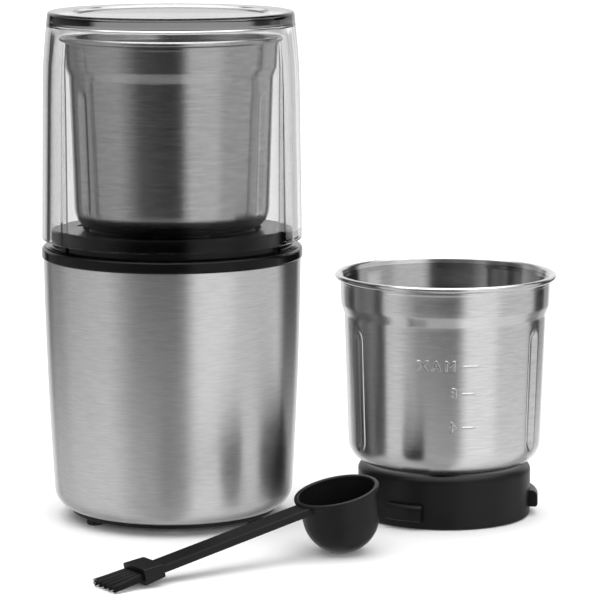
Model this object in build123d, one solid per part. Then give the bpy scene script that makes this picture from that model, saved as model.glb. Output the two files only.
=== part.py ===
from build123d import *
import os
from math import asin, atan2, cos, degrees, hypot, pi, radians, sin, sqrt

# Allowances
OVERRUN = 1.0  # how far a cutting tool passes the faces that it cuts
SEATED = 0.05  # radial play of a piece pushed into its seat
RUNNING = 0.06  # radial play of a shaft in its bearing
REST_GAP = 0.2  # between pieces that rest on each other and still turn or lift
AIR_GAP = 0.5  # between turning and still pieces that never touch

# Feet and bottom cover
FOOT_R = 3.4
FOOT_STAND = 2.6
FOOT_EDGE = 1.0
FOOT_POCKET = 1.4
FOOT_PITCH_R = 36.7
COVER_EDGE = 1.6
COVER_LIP = 0.9
COVER_FLOOR = 2.6
COVER_RIM_HEIGHT = 4.0
COVER_RIM_WALL = 2.0
VENT_COUNT = 12
VENT_INNER_R = 13.0
VENT_LENGTH = 14.0
VENT_WIDTH = 2.6

# Steel housing
SLEEVE_HEIGHT = 101.4
SLEEVE_TOP_R = 51.5
SLEEVE_BELLY_R = 50.45
SLEEVE_BELLY_RISE = 57.8
SLEEVE_LOW_R = 48.0
SLEEVE_LOW_RISE = 8.0
SLEEVE_EDGE_R = 40.5
SLEEVE_WALL = 0.8
GLAND_RISE = 20.0
GLAND_BORE_R = 3.0
GLAND_R = 4.6
GLAND_FLANGE_R = 6.4
GLAND_FLANGE = 1.8
GLAND_TAIL = 5.0

# Deck with its flange, collar and well
FLANGE_R = 52.2
FLANGE_HEIGHT = 4.7
FLANGE_EDGE = 1.5
COLLAR_R = 48.1
COLLAR_HEIGHT = 8.1
COLLAR_WALL = 3.6
COLLAR_EDGE = 0.9
DECK_WALL = 2.4
SKIRT_DEPTH = 8.0
SKIRT_WALL = 1.6
SKIRT_PLAY = 0.35
WELL_DEPTH = 22.8
WELL_PLAY = 0.8
LEDGE_SPAN = 84.0
UNLOCK_TURN = 32.0
LEDGE_PLAY = 0.5
DECK_BOSS_R = 3.2
DECK_BOSS_DROP = 7.2
DECK_BOSS_PITCH_R = 30.0
GUIDE_WIDTH = 7.0

# Clear lid with its three inner ribs
LID_GAP = 2.9
LID_HEADROOM = 5.0
LID_LOW_R = 52.05
LID_SHOULDER_R = 51.0
LID_SHOULDER_DROP = 20.5
LID_SHOULDER_BEND = 200.0
LID_TOP_R = 49.0
LID_CORNER = 4.6
LID_WALL = 2.6
LID_TOP = 5.0
LID_DISH_R = 39.0
LID_DISH = 1.0
LID_DISH_SLOPE = 1.6
LID_EDGE = 0.7
LID_INNER_CORNER = 1.6
RIB_WIDTH = 1.6
RIB_CUP_GAP = 2.5
RIB_PLAY = 0.6

# Plunger that the lid's back rib pushes, its spring and the switch
PLUNGER_R = 1.3
PLUNGER_TRAVEL = 2.4
PLUNGER_PLAY = 0.15
SHOULDER_R = 2.4
SHOULDER_HEIGHT = 1.4
SPRING_R = 1.9
SPRING_WIRE_R = 0.3
SPRING_TURNS = 5
SWITCH_LENGTH = 20.0
SWITCH_DEPTH = 6.4
SWITCH_HEIGHT = 10.0
SWITCH_BUTTON_R = 1.2
SWITCH_BUTTON = 1.5
SWITCH_TAG_WIDTH = 3.2
SWITCH_TAG = 0.6
SWITCH_TAG_LENGTH = 5.0
SWITCH_TAG_PITCH = 6.7
SWITCH_INSET = 1.6

# Plastic cradle that carries the motor
PLATE_R = 44.0
PLATE = 3.0
PLATE_HOLE_R = 11.0
LEG_R = 3.6
LEG_PITCH_R = 34.8
SHELF_WALL = 3.0
SHELF_MARGIN = 1.0

# Screws
SCREW_R = 1.4
SCREW_HEAD_R = 2.7
SCREW_HEAD = 1.6
SCREW_GRIP = 9.0
SCREW_SLOT = 0.7

# Motor
MOUNT_R = 4.4
MOUNT_HEIGHT = 3.5
MOUNT_PITCH_R = 18.0
BRACKET = 3.0
BRACKET_LENGTH = 46.0
BRACKET_WIDTH = 14.0
BRACKET_ARM_WIDTH = 12.0
UPPER_LEG = 10.5
LOWER_LEG = 17.0
HUB_R = 9.0
HUB_DROP = 4.0
BEARING_R = 6.0
STATOR_LENGTH = 50.0
STATOR_WIDTH = 42.0
STATOR_CORNER = 8.0
YOKE = 4.0
NECK_WIDTH = 17.0
SHOE = 2.6
SHOE_SPAN = 110.0
COIL = 4.0
COIL_CLEARANCE = 0.4
SHAFT_R = 3.0
ARMATURE_R = 12.9
ARMATURE_SLOTS = 12
ARMATURE_SLOT_WIDTH = 1.8
ARMATURE_SLOT_DEPTH = 3.6
WINDING = 4.8
WINDING_R = 11.8
WINDING_ROUND = 2.0
COMMUTATOR_R = 8.5
COMMUTATOR_HEIGHT = 8.5
CARBON = 5.0
CARBON_LENGTH = 10.0
HOLDER_WALL = 1.8
HOLDER_LENGTH = 9.0
FAN_R = 22.0
FAN_HEIGHT = 7.0
FAN_DISC = 1.2
FAN_HUB_R = 6.0
FAN_BLADES = 8
FAN_DROP = 1.0
FAN_LIFT = 1.8
SEAL_R = 9.0
SEAL_LIP = 0.3

# Drive dogs between the motor and the cup
DOG_COUNT = 3
DOG_SPAN = 40.0
DOG_R = 10.5
DOG_INNER_R = 6.5
DOG_HEIGHT = 5.0
DOG_DISC_R = 11.5
DOG_DISC = 2.0
DOG_HUB_R = 5.2
DOG_LIFT = 0.6
DOG_GAP = 1.2
DOG_HUB = 2.6

# Cup, the same for the one in place and the spare
CUP_HEIGHT = 98.7
CUP_FLOOR_RISE = 21.9
CUP_LOW_R = 38.6
CUP_BODY_R = 40.6
CUP_STEP_DROP = 16.4
CUP_STEP = 4.0
CUP_STEP_ROUND = 2.4
CUP_NECK_LOW_R = 41.95
CUP_NECK_R = 42.2
CUP_FLARE = 2.6
CUP_CORNER = 9.0
CUP_WALL = 0.7
BEAD_R = 1.15
RIM_R = 44.4
FLUTE_R = 4.6
FLUTE_DEPTH = 1.3
FLUTE_FLOOR_MARGIN = 10.6
FLUTE_STEP_MARGIN = 7.8
BASE_R = 34.9
BASE_HEIGHT = 21.4
BASE_WALL = 2.6
BASE_WEB = 4.0
BASE_PAD_R = 27.0
BASE_TOP_EDGE = 3.0
BASE_LOW_EDGE = 1.4
LUG_REACH = 3.2
LUG_LOW = 3.6
LUG_HEIGHT = 6.7
LUG_SPAN = 24.0
LUG_TURN = -27.0
LUG_EDGE = 2.2
LUG_LOW_EDGE = 0.9
BUSH_R = 6.0
BUSH_FLANGE_R = 9.5
BUSH_FLANGE = 2.2
BUSH_NECK = 1.6
BUSH_LOW = 11.2
BUSH_EDGE = 0.6
CUP_SEAL = 1.0
CUP_SEAL_R = 10.5
LOCKNUT_R = 10.0
LOCKNUT_HEIGHT = 5.0

# Blades
BLADE_SHAFT_R = 4.0
BLADE_STUD_R = 2.5
BLADE_STUD = 6.0
BLADE_LIFT = 1.0
BLADE = 1.5
BLADE_R = 28.0
BLADE_HUB_R = 7.0
BLADE_ROOT_WIDTH = 13.0
BLADE_TIP_WIDTH = 7.0
BLADE_TIP_LEAD_SHARE = 0.83
BLADE_BOW_SHARE = 0.67
BLADE_BEND_R = 11.0
GRINDING_RISE = 6.0
CHOPPING_RISE = 8.0
CHOPPING_DROP = 1.8
BLADE_NUT_R = 4.6
BLADE_NUT = 5.0

# Places of the spare cup and the scoop on the table
SPARE_X = 109.7
SPARE_Y = -3.85
SPARE_TURN = -4.8
SCOOP_X = 60.9
SCOOP_Y = -73.9
SCOOP_HEADING = 211.2

# Scoop with the brush at its far end
BOWL_R = 15.7
BOWL_LOW_R = 14.9
BOWL_DEPTH = 25.0
BOWL_WALL = 0.9
BOWL_LEAN = 2.0
LIP_R = 16.6
LIP_HEIGHT = 2.0
LIP_EDGE = 0.6
LIP_BEVEL = 0.4
HANDLE_BOWL_WIDTH = 9.0
HANDLE_HEAD_WIDTH = 9.8
HANDLE = 2.8
HANDLE_DROP = 1.4
HANDLE_EDGE = 0.5
HEAD_REACH = 92.9
HEAD_LENGTH = 8.5
HEAD_WIDTH = 14.8
HEAD_ROOT_HEIGHT = 5.3
HEAD_TIP_HEIGHT = 6.4
HEAD_STEP = 1.7
HEAD_EDGE = 0.9
SOCKET_WALL = 1.1
SOCKET_DEPTH = 4.0
BRUSH_HEIGHT = 3.0
BRISTLE_LENGTH = 13.1
BRISTLE_R = 0.12
BRISTLE_COLUMNS = 44
BRISTLE_ROWS = 7
BRISTLE_BACKING = 1.2
BRISTLE_MARGIN = 0.35
BRISTLE_SPREAD_SHARE = 1.24
BRISTLE_THINNING_SHARE = 0.9
BRISTLE_TUFTS = 7
BRISTLE_TUFT_SHARE = 0.3
BRISTLE_STAGGER = 1.0

# Turns of what repeats three times about the axis, from the front
RIB_TURNS = (-60, 60, 180)
FOOT_TURNS = (-60, 60, 180)
BOSS_TURNS = (-60, 60, 180)
LEG_TURNS = (0, 120, 240)
LUG_TURNS = (LUG_TURN, LUG_TURN + 120, LUG_TURN + 240)
FLUTE_TURNS = (-60, 60, 180)
BACK_TURN = 180

# Heights above the table, from the feet up
COVER_Z = FOOT_STAND
SLEEVE_Z = COVER_Z + COVER_EDGE
FLANGE_Z = SLEEVE_Z + SLEEVE_HEIGHT
COLLAR_Z = FLANGE_Z + FLANGE_HEIGHT
DECK_Z = COLLAR_Z + COLLAR_HEIGHT
WELL_Z = DECK_Z - WELL_DEPTH
LID_Z = COLLAR_Z + LID_GAP
CUP_Z = WELL_Z + REST_GAP
LID_TOP_Z = CUP_Z + CUP_HEIGHT + LID_HEADROOM + LID_TOP
COVER_RIM_Z = SLEEVE_Z + COVER_RIM_HEIGHT

# Heights inside the housing: the fan stands over the cover, the cradle hangs from the deck, and the
# laminations fill what is left between the two brackets
PLATE_Z = WELL_Z - DECK_WALL - DECK_BOSS_DROP - PLATE
UPPER_BRACKET_Z = PLATE_Z - MOUNT_HEIGHT - BRACKET
FAN_Z = COVER_RIM_Z + FAN_LIFT
LOWER_BRACKET_Z = FAN_Z + FAN_HEIGHT + FAN_DROP + HUB_DROP
STACK_Z = LOWER_BRACKET_Z + BRACKET + LOWER_LEG
STACK = UPPER_BRACKET_Z - UPPER_LEG - STACK_Z
COMMUTATOR_Z = STACK_Z - WINDING - AIR_GAP - COMMUTATOR_HEIGHT
SWITCH_Z = PLATE_Z - REST_GAP - SWITCH_HEIGHT
PLUNGER_Z = SWITCH_Z + SWITCH_HEIGHT + SWITCH_BUTTON + PLUNGER_TRAVEL + REST_GAP
SHOULDER_Z = FLANGE_Z - REST_GAP - SHOULDER_HEIGHT
GUIDE_Z = WELL_Z - DECK_WALL

# Sizes that follow from the ones above
LUG_R = BASE_R + LUG_REACH
WELL_R = LUG_R + WELL_PLAY
WELL_MOUTH_R = BASE_R + WELL_PLAY
BORE_R = ARMATURE_R + AIR_GAP
YOKE_HALF_LENGTH = STATOR_LENGTH / 2 - YOKE
YOKE_HALF_WIDTH = STATOR_WIDTH / 2 - YOKE
BOLT_Y = STATOR_WIDTH / 2 - YOKE / 2
DRIVE_Z = WELL_Z + DOG_LIFT
BEAD_PITCH_R = RIM_R - BEAD_R
RIB_INNER_R = RIM_R + RIB_CUP_GAP
PLUNGER_PITCH_R = RIB_INNER_R
CUP_STEP_LOW = CUP_HEIGHT - CUP_STEP_DROP
FLUTE_LENGTH = CUP_STEP_LOW - FLUTE_STEP_MARGIN - CUP_FLOOR_RISE - FLUTE_FLOOR_MARGIN
FLUTE_RISE = CUP_FLOOR_RISE + FLUTE_FLOOR_MARGIN + FLUTE_LENGTH / 2
CUP_SLOPE = (CUP_BODY_R - CUP_LOW_R) / (CUP_STEP_LOW - CUP_FLOOR_RISE)
BUSH_TOP = CUP_FLOOR_RISE + CUP_WALL + CUP_SEAL + BUSH_FLANGE + BUSH_NECK
BLADE_Z = BUSH_TOP + BLADE_LIFT
HEAD_DROP = HANDLE_DROP - HEAD_STEP + HEAD_ROOT_HEIGHT / 2
COUPLING_Z = DOG_LIFT + DOG_DISC + DOG_HEIGHT + DOG_GAP - REST_GAP

STANDING = (Align.CENTER, Align.CENTER, Align.MIN)
FRONTWARD = (Align.CENTER, Align.MAX, Align.MIN)


def rod(radius, height, z=0):
    """Round bar on the Z axis, standing at height z."""
    return Pos(0, 0, z) * Cylinder(radius, height, align=STANDING)


def ring(outer, inner, height, z=0):
    """Plain ring on the Z axis, standing at height z."""
    return rod(outer, height, z) - rod(inner, height + 2 * OVERRUN, z - OVERRUN)


def turned(points, radii):
    """Solid turned about Z from an outline of (radius, height) points with rounded corners."""
    outline = FilletPolyline(*points, radius=radii, close=True)
    return revolve(Plane.XZ * make_face(outline), Axis.Z)


def sector(inner, outer, span):
    """Flat ring sector of so many degrees, centred on the front."""
    start = -90 - span / 2
    near = CenterArc((0, 0), inner, start, span)
    far = CenterArc((0, 0), outer, start, span)
    return make_face([far, Line(far @ 1, near @ 1), near, Line(near @ 0, far @ 0)])


def about(solid, turns):
    """Copies of a solid turned about the Z axis."""
    return [Rot(0, 0, turn) * solid for turn in turns]


def group(solids):
    """Separate solids that share one node."""
    return Compound([solid.solid() for solid in solids])


def front(pitch, z=0):
    """Place at a pitch radius on the front of the Z axis."""
    return Pos(0, -pitch, z)


def sleeve_side(inset):
    """Long bowed side of the housing's outline, moved in by inset."""
    return ThreePointArc(
        (SLEEVE_TOP_R - inset, FLANGE_Z),
        (SLEEVE_BELLY_R - inset, SLEEVE_Z + SLEEVE_BELLY_RISE),
        (SLEEVE_LOW_R - inset, SLEEVE_Z + SLEEVE_LOW_RISE),
    )


def sleeve_radius(z):
    """Outer radius of the housing at a height on its long side."""
    side = sleeve_side(0)
    return side.arc_center.X + sqrt(side.radius**2 - (z - side.arc_center.Y) ** 2)


def body_sleeve():
    outer = sleeve_side(0)
    inner = sleeve_side(SLEEVE_WALL)
    outer_corner = TangentArc(outer @ 1, (SLEEVE_EDGE_R, SLEEVE_Z), tangent=outer % 1)
    inner_corner = TangentArc(inner @ 1, (SLEEVE_EDGE_R, SLEEVE_Z + SLEEVE_WALL), tangent=inner % 1)
    edge = Line(outer_corner @ 1, inner_corner @ 1)
    top = Line(inner @ 0, outer @ 0)
    shell = revolve(Plane.XZ * make_face([outer, outer_corner, edge, inner_corner, inner, top]), Axis.Z)
    hole = Cylinder(GLAND_R + SEATED, SLEEVE_TOP_R, align=STANDING)
    return shell - Pos(0, 0, SLEEVE_Z + GLAND_RISE) * Rot(-90, 0, 0) * hole


def cord_gland():
    z = SLEEVE_Z + GLAND_RISE
    seat = sleeve_radius(z + GLAND_FLANGE_R)
    tail = seat - SLEEVE_WALL - GLAND_TAIL
    bush = turned(
        [
            (GLAND_BORE_R, tail),
            (GLAND_R, tail),
            (GLAND_R, seat),
            (GLAND_FLANGE_R, seat),
            (GLAND_FLANGE_R, seat + GLAND_FLANGE),
            (GLAND_BORE_R, seat + GLAND_FLANGE),
        ],
        [0, 0, 0, 0, GLAND_FLANGE / 2, 0],
    )
    return Pos(0, 0, z) * Rot(-90, 0, 0) * bush


def bottom_cover():
    lip_r = SLEEVE_EDGE_R + COVER_LIP
    plug_r = SLEEVE_EDGE_R - REST_GAP
    floor_z = COVER_Z + COVER_FLOOR
    cover = turned(
        [
            (0, COVER_Z),
            (lip_r, COVER_Z),
            (lip_r, SLEEVE_Z),
            (plug_r, SLEEVE_Z),
            (plug_r, COVER_RIM_Z),
            (plug_r - COVER_RIM_WALL, COVER_RIM_Z),
            (plug_r - COVER_RIM_WALL, floor_z),
            (0, floor_z),
        ],
        [0, COVER_EDGE / 2, 0, 0, 0, 0, 0, 0],
    )
    cover += about(front(LEG_PITCH_R) * rod(LEG_R, COVER_RIM_Z - COVER_Z, COVER_Z), LEG_TURNS)
    hole = rod(SCREW_R + SEATED, COVER_RIM_Z, COVER_Z - OVERRUN)
    sink = rod(SCREW_HEAD_R + REST_GAP, SCREW_HEAD + OVERRUN, COVER_Z - OVERRUN)
    cover -= about(front(LEG_PITCH_R) * (hole + sink), LEG_TURNS)
    pocket = rod(FOOT_R + SEATED, FOOT_POCKET + OVERRUN, COVER_Z - OVERRUN)
    cover -= about(front(FOOT_PITCH_R) * pocket, FOOT_TURNS)
    slot = extrude(SlotOverall(VENT_LENGTH, VENT_WIDTH, rotation=90), COVER_FLOOR + 2 * OVERRUN)
    slot = front(VENT_INNER_R + VENT_LENGTH / 2, COVER_Z - OVERRUN) * slot
    return cover - about(slot, [360 / VENT_COUNT * (i + 0.5) for i in range(VENT_COUNT)])


def rubber_feet():
    foot = turned(
        [(0, 0), (FOOT_R, 0), (FOOT_R, FOOT_STAND + FOOT_POCKET), (0, FOOT_STAND + FOOT_POCKET)],
        [0, FOOT_EDGE, 0, 0],
    )
    return group(about(front(FOOT_PITCH_R) * foot, FOOT_TURNS))


def screw(length):
    """Slotted screw, head down, with the underside of its head at zero."""
    head = rod(SCREW_HEAD_R, SCREW_HEAD, -SCREW_HEAD)
    slot = Box(2 * SCREW_HEAD_R + 2 * OVERRUN, SCREW_SLOT, SCREW_HEAD)
    return head - Pos(0, 0, -SCREW_HEAD) * slot + rod(SCREW_R, length)


def cover_screws():
    place = front(LEG_PITCH_R, COVER_Z + SCREW_HEAD)
    return group(about(place * screw(COVER_RIM_Z - COVER_Z - SCREW_HEAD + SCREW_GRIP), LEG_TURNS))


def deck_screws():
    place = front(DECK_BOSS_PITCH_R, PLATE_Z)
    return group(about(place * screw(PLATE + DECK_BOSS_DROP - REST_GAP), BOSS_TURNS))


def mount_screws():
    turned_down = Pos(MOUNT_PITCH_R, 0, PLATE_Z + PLATE) * Rot(180, 0, 0)
    return group(about(turned_down * screw(PLATE + MOUNT_HEIGHT + BRACKET), (0, 180)))


def top_deck():
    skirt_r = SLEEVE_TOP_R - SLEEVE_WALL - SKIRT_PLAY
    collar_inner = COLLAR_R - COLLAR_WALL
    deck = turned(
        [
            (SEAL_R + SEATED, WELL_Z - DECK_WALL),
            (WELL_R + DECK_WALL, WELL_Z - DECK_WALL),
            (WELL_R + DECK_WALL, DECK_Z - DECK_WALL),
            (collar_inner, DECK_Z - DECK_WALL),
            (collar_inner, FLANGE_Z),
            (skirt_r - SKIRT_WALL, FLANGE_Z),
            (skirt_r - SKIRT_WALL, FLANGE_Z - SKIRT_DEPTH),
            (skirt_r, FLANGE_Z - SKIRT_DEPTH),
            (skirt_r, FLANGE_Z),
            (FLANGE_R, FLANGE_Z),
            (FLANGE_R, COLLAR_Z),
            (COLLAR_R, COLLAR_Z),
            (COLLAR_R, DECK_Z),
            (WELL_R, DECK_Z),
            (WELL_R, WELL_Z),
            (SEAL_R + SEATED, WELL_Z),
        ],
        [0] * 9 + [FLANGE_EDGE / 2, FLANGE_EDGE, FLANGE_EDGE / 2, COLLAR_EDGE] + [0] * 3,
    )
    ledge_z = CUP_Z + LUG_LOW + LUG_HEIGHT + LEDGE_PLAY
    ledge = extrude(sector(WELL_MOUTH_R, WELL_R + DECK_WALL / 2, LEDGE_SPAN), DECK_Z - ledge_z)
    to_ledge = UNLOCK_TURN - 360 / len(LUG_TURNS) / 2
    deck += about(Pos(0, 0, ledge_z) * ledge, [turn + to_ledge for turn in LUG_TURNS])
    deck += about(front(DECK_BOSS_PITCH_R, PLATE_Z + PLATE) * rod(DECK_BOSS_R, DECK_BOSS_DROP), BOSS_TURNS)
    pilot = rod(SCREW_R + SEATED, DECK_BOSS_DROP + OVERRUN, PLATE_Z + PLATE - OVERRUN)
    deck -= about(front(DECK_BOSS_PITCH_R) * pilot, BOSS_TURNS)
    notch_r = RIB_INNER_R - RIB_PLAY
    notch_width = RIB_WIDTH + 2 * RIB_PLAY
    notch_depth = COLLAR_R - notch_r + OVERRUN
    notch = Box(notch_width, notch_depth, COLLAR_HEIGHT + OVERRUN, align=FRONTWARD)
    deck -= about(front(notch_r, COLLAR_Z) * notch, RIB_TURNS)
    arm_reach = PLUNGER_PITCH_R + SHOULDER_R - WELL_R - DECK_WALL / 2
    arm = Box(GUIDE_WIDTH, arm_reach, DECK_WALL, align=FRONTWARD)
    relief = Box(GUIDE_WIDTH, COLLAR_WALL, SKIRT_DEPTH + OVERRUN)
    relief_place = front(skirt_r - SKIRT_WALL / 2, FLANGE_Z - SKIRT_DEPTH / 2 - OVERRUN / 2)
    back = Rot(0, 0, BACK_TURN)
    deck -= back * relief_place * relief
    deck += back * front(WELL_R + DECK_WALL / 2, GUIDE_Z) * arm
    hole = rod(PLUNGER_R + PLUNGER_PLAY, DECK_Z - GUIDE_Z + 2 * OVERRUN, GUIDE_Z - OVERRUN)
    return deck - back * front(PLUNGER_PITCH_R) * hole


def lid():
    inner_top = LID_TOP_Z - LID_TOP
    dish_z = LID_TOP_Z - LID_DISH
    shell = turned(
        [
            (LID_LOW_R, LID_Z),
            (LID_SHOULDER_R, LID_TOP_Z - LID_SHOULDER_DROP),
            (LID_TOP_R, LID_TOP_Z),
            (LID_DISH_R, LID_TOP_Z),
            (LID_DISH_R - LID_DISH_SLOPE, dish_z),
            (0, dish_z),
            (0, inner_top),
            (LID_TOP_R - LID_WALL, inner_top),
            (LID_SHOULDER_R - LID_WALL, LID_TOP_Z - LID_SHOULDER_DROP),
            (LID_LOW_R - LID_WALL, LID_Z),
        ],
        [
            LID_EDGE,
            LID_SHOULDER_BEND,
            LID_CORNER,
            LID_DISH,
            LID_DISH,
            0,
            0,
            LID_INNER_CORNER,
            LID_SHOULDER_BEND,
            LID_EDGE,
        ],
    )
    blank = turned(
        [
            (0, LID_Z),
            (LID_LOW_R - LID_WALL / 2, LID_Z),
            (LID_SHOULDER_R - LID_WALL / 2, LID_TOP_Z - LID_SHOULDER_DROP),
            (LID_TOP_R - LID_WALL / 2, inner_top + LID_DISH),
            (0, inner_top + LID_DISH),
        ],
        [0, 0, 0, 0, 0],
    )
    rib = Box(RIB_WIDTH, LID_LOW_R - RIB_INNER_R, LID_TOP_Z - LID_Z, align=FRONTWARD)
    ribs = about(front(RIB_INNER_R, LID_Z) * rib, RIB_TURNS)
    return shell + [blank & rib for rib in ribs]


def lid_plunger():
    stem = rod(PLUNGER_R, LID_Z - PLUNGER_Z, PLUNGER_Z)
    shoulder = rod(SHOULDER_R, SHOULDER_HEIGHT, SHOULDER_Z)
    return Rot(0, 0, BACK_TURN) * front(PLUNGER_PITCH_R) * (stem + shoulder)


def plunger_spring():
    low = WELL_Z + SPRING_WIRE_R
    length = SHOULDER_Z - SPRING_WIRE_R - low
    coil = Helix(length / SPRING_TURNS, length, SPRING_R)
    section = Plane(coil @ 0, z_dir=coil % 0) * Circle(SPRING_WIRE_R)
    wire = sweep(section, path=coil, is_frenet=True)
    return Rot(0, 0, BACK_TURN) * front(PLUNGER_PITCH_R, low) * wire


def lid_switch():
    body = Box(SWITCH_LENGTH, SWITCH_DEPTH, SWITCH_HEIGHT, align=STANDING)
    body += rod(SWITCH_BUTTON_R, SWITCH_BUTTON, SWITCH_HEIGHT)
    hanging = (Align.CENTER, Align.CENTER, Align.MAX)
    tag = Box(SWITCH_TAG_WIDTH, SWITCH_TAG, SWITCH_TAG_LENGTH, align=hanging)
    body += [Pos(side * SWITCH_TAG_PITCH, 0, 0) * tag for side in (-1, 0, 1)]
    return Rot(0, 0, BACK_TURN) * front(PLUNGER_PITCH_R - SWITCH_INSET, SWITCH_Z) * body


def motor_frame():
    frame = ring(PLATE_R, PLATE_HOLE_R, PLATE, PLATE_Z)
    frame += about(front(LEG_PITCH_R) * rod(LEG_R, PLATE_Z - COVER_RIM_Z, COVER_RIM_Z), LEG_TURNS)
    shelf_face = PLUNGER_PITCH_R - SWITCH_INSET - SWITCH_DEPTH / 2
    shelf = Box(
        SWITCH_LENGTH + 2 * SHELF_MARGIN,
        SHELF_WALL,
        SWITCH_HEIGHT + REST_GAP,
        align=(Align.CENTER, Align.MIN, Align.MIN),
    )
    frame += Rot(0, 0, BACK_TURN) * front(shelf_face, SWITCH_Z) * shelf
    pilot = rod(SCREW_R + SEATED, SCREW_GRIP + SCREW_R + OVERRUN, COVER_RIM_Z - OVERRUN)
    frame -= about(front(LEG_PITCH_R) * pilot, LEG_TURNS)
    hole = rod(SCREW_R + SEATED, PLATE + 2 * OVERRUN, PLATE_Z - OVERRUN)
    frame -= about(front(DECK_BOSS_PITCH_R) * hole, BOSS_TURNS)
    return frame - about(Pos(MOUNT_PITCH_R, 0, 0) * hole, (0, 180))


def motor_mounts():
    bush = ring(MOUNT_R, SCREW_R + SEATED, MOUNT_HEIGHT, PLATE_Z - MOUNT_HEIGHT)
    return group(about(Pos(MOUNT_PITCH_R, 0, 0) * bush, (0, 180)))


def bracket(plate_z, leg_z, leg_height, hub_z, hub_height):
    """Bridge over one end of the motor: cross plate, two legs on the yoke and the bearing hub."""
    plan = Rectangle(BRACKET_LENGTH, BRACKET_WIDTH) + Rectangle(BRACKET_ARM_WIDTH, STATOR_WIDTH)
    body = Pos(0, 0, plate_z) * extrude(plan + Circle(HUB_R), BRACKET)
    leg = Box(BRACKET_ARM_WIDTH, YOKE, leg_height, align=STANDING)
    body += [Pos(0, side * BOLT_Y, leg_z) * leg for side in (-1, 1)]
    body += rod(HUB_R, hub_height, hub_z)
    low = min(plate_z, leg_z, hub_z) - OVERRUN
    through = leg_height + 2 * BRACKET + hub_height + 2 * OVERRUN
    body -= rod(BEARING_R + SEATED, through, low)
    return body - [Pos(0, side * BOLT_Y, 0) * rod(SCREW_R + SEATED, through, low) for side in (-1, 1)]


def upper_bracket():
    body = bracket(UPPER_BRACKET_Z, STACK_Z + STACK, UPPER_LEG, UPPER_BRACKET_Z - HUB_DROP, HUB_DROP)
    hole = rod(SCREW_R + SEATED, BRACKET + 2 * OVERRUN, UPPER_BRACKET_Z - OVERRUN)
    return body - about(Pos(MOUNT_PITCH_R, 0, 0) * hole, (0, 180))


def lower_bracket():
    leg_z = LOWER_BRACKET_Z + BRACKET
    return bracket(LOWER_BRACKET_Z, leg_z, LOWER_LEG, LOWER_BRACKET_Z - HUB_DROP, HUB_DROP)


def bearing(z):
    """Sintered bush in a bracket's hub."""
    return ring(BEARING_R, SHAFT_R + RUNNING, BRACKET + HUB_DROP, z - HUB_DROP)


def stator_core():
    corner_inside = STATOR_CORNER - YOKE
    plan = RectangleRounded(STATOR_LENGTH, STATOR_WIDTH, STATOR_CORNER)
    plan -= RectangleRounded(2 * YOKE_HALF_LENGTH, 2 * YOKE_HALF_WIDTH, corner_inside)
    neck_length = YOKE_HALF_LENGTH + YOKE / 2 - BORE_R - SHOE / 2
    neck = Pos(BORE_R + SHOE / 2, 0) * Rectangle(neck_length, NECK_WIDTH, align=(Align.MIN, Align.CENTER))
    shoe = Rot(0, 0, 90) * sector(BORE_R, BORE_R + SHOE, SHOE_SPAN)
    for side in (0, 180):
        plan += Rot(0, 0, side) * (neck + shoe)
    plan -= Circle(BORE_R)
    plan -= [Pos(0, side * BOLT_Y) * Circle(SCREW_R + SEATED) for side in (-1, 1)]
    return Pos(0, 0, STACK_Z) * extrude(plan, STACK)


def field_coils():
    inner_width = NECK_WIDTH + 2 * COIL_CLEARANCE
    inner_height = STACK + 2 * COIL_CLEARANCE
    loop = RectangleRounded(inner_width + 2 * COIL, inner_height + 2 * COIL, COIL)
    loop -= Rectangle(inner_width, inner_height)
    near = BORE_R + SHOE + COIL_CLEARANCE
    coil = extrude(Plane.YZ * loop, YOKE_HALF_LENGTH - COIL_CLEARANCE - near)
    return group(about(Pos(near, 0, STACK_Z + STACK / 2) * coil, (0, 180)))


def motor_bolts():
    length = 2 * BRACKET + UPPER_LEG + STACK + LOWER_LEG
    return group([Pos(0, side * BOLT_Y, LOWER_BRACKET_Z) * screw(length) for side in (-1, 1)])


def brush_holders():
    z = LOWER_BRACKET_Z + BRACKET
    centre = COMMUTATOR_Z + COMMUTATOR_HEIGHT / 2
    width = CARBON + 2 * HOLDER_WALL
    top = centre + CARBON / 2 + HOLDER_WALL
    tube = Box(HOLDER_LENGTH, width, top - z, align=(Align.MIN, Align.CENTER, Align.MIN))
    bore = Box(HOLDER_LENGTH + 2 * OVERRUN, CARBON + 2 * SEATED, CARBON + 2 * SEATED)
    holder = Pos(0, 0, z) * tube - Pos(HOLDER_LENGTH / 2, 0, centre) * bore
    return group(about(Pos(COMMUTATOR_R + HOLDER_WALL, 0, 0) * holder, (0, 180)))


def carbon_brushes():
    block = Box(CARBON_LENGTH, CARBON, CARBON, align=(Align.MIN, Align.CENTER, Align.CENTER))
    block = Pos(COMMUTATOR_R - OVERRUN, 0, COMMUTATOR_Z + COMMUTATOR_HEIGHT / 2) * block
    block -= rod(COMMUTATOR_R + RUNNING, COMMUTATOR_HEIGHT, COMMUTATOR_Z)
    return group(about(block, (0, 180)))


def shaft_seal():
    return ring(SEAL_R, SHAFT_R + SEAL_LIP, DECK_WALL, WELL_Z - DECK_WALL)


def motor_shaft():
    top = DRIVE_Z + DOG_DISC + DOG_HUB
    return rod(SHAFT_R, top - FAN_Z, FAN_Z)


def armature_core():
    core = ring(ARMATURE_R, SHAFT_R + SEATED, STACK, STACK_Z)
    slot_depth = ARMATURE_SLOT_DEPTH + OVERRUN
    slot = Box(ARMATURE_SLOT_WIDTH, slot_depth, STACK + 2 * OVERRUN, align=FRONTWARD)
    slot = front(ARMATURE_R - ARMATURE_SLOT_DEPTH, STACK_Z - OVERRUN) * slot
    return core - about(slot, [360 / ARMATURE_SLOTS * i for i in range(ARMATURE_SLOTS)])


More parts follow.
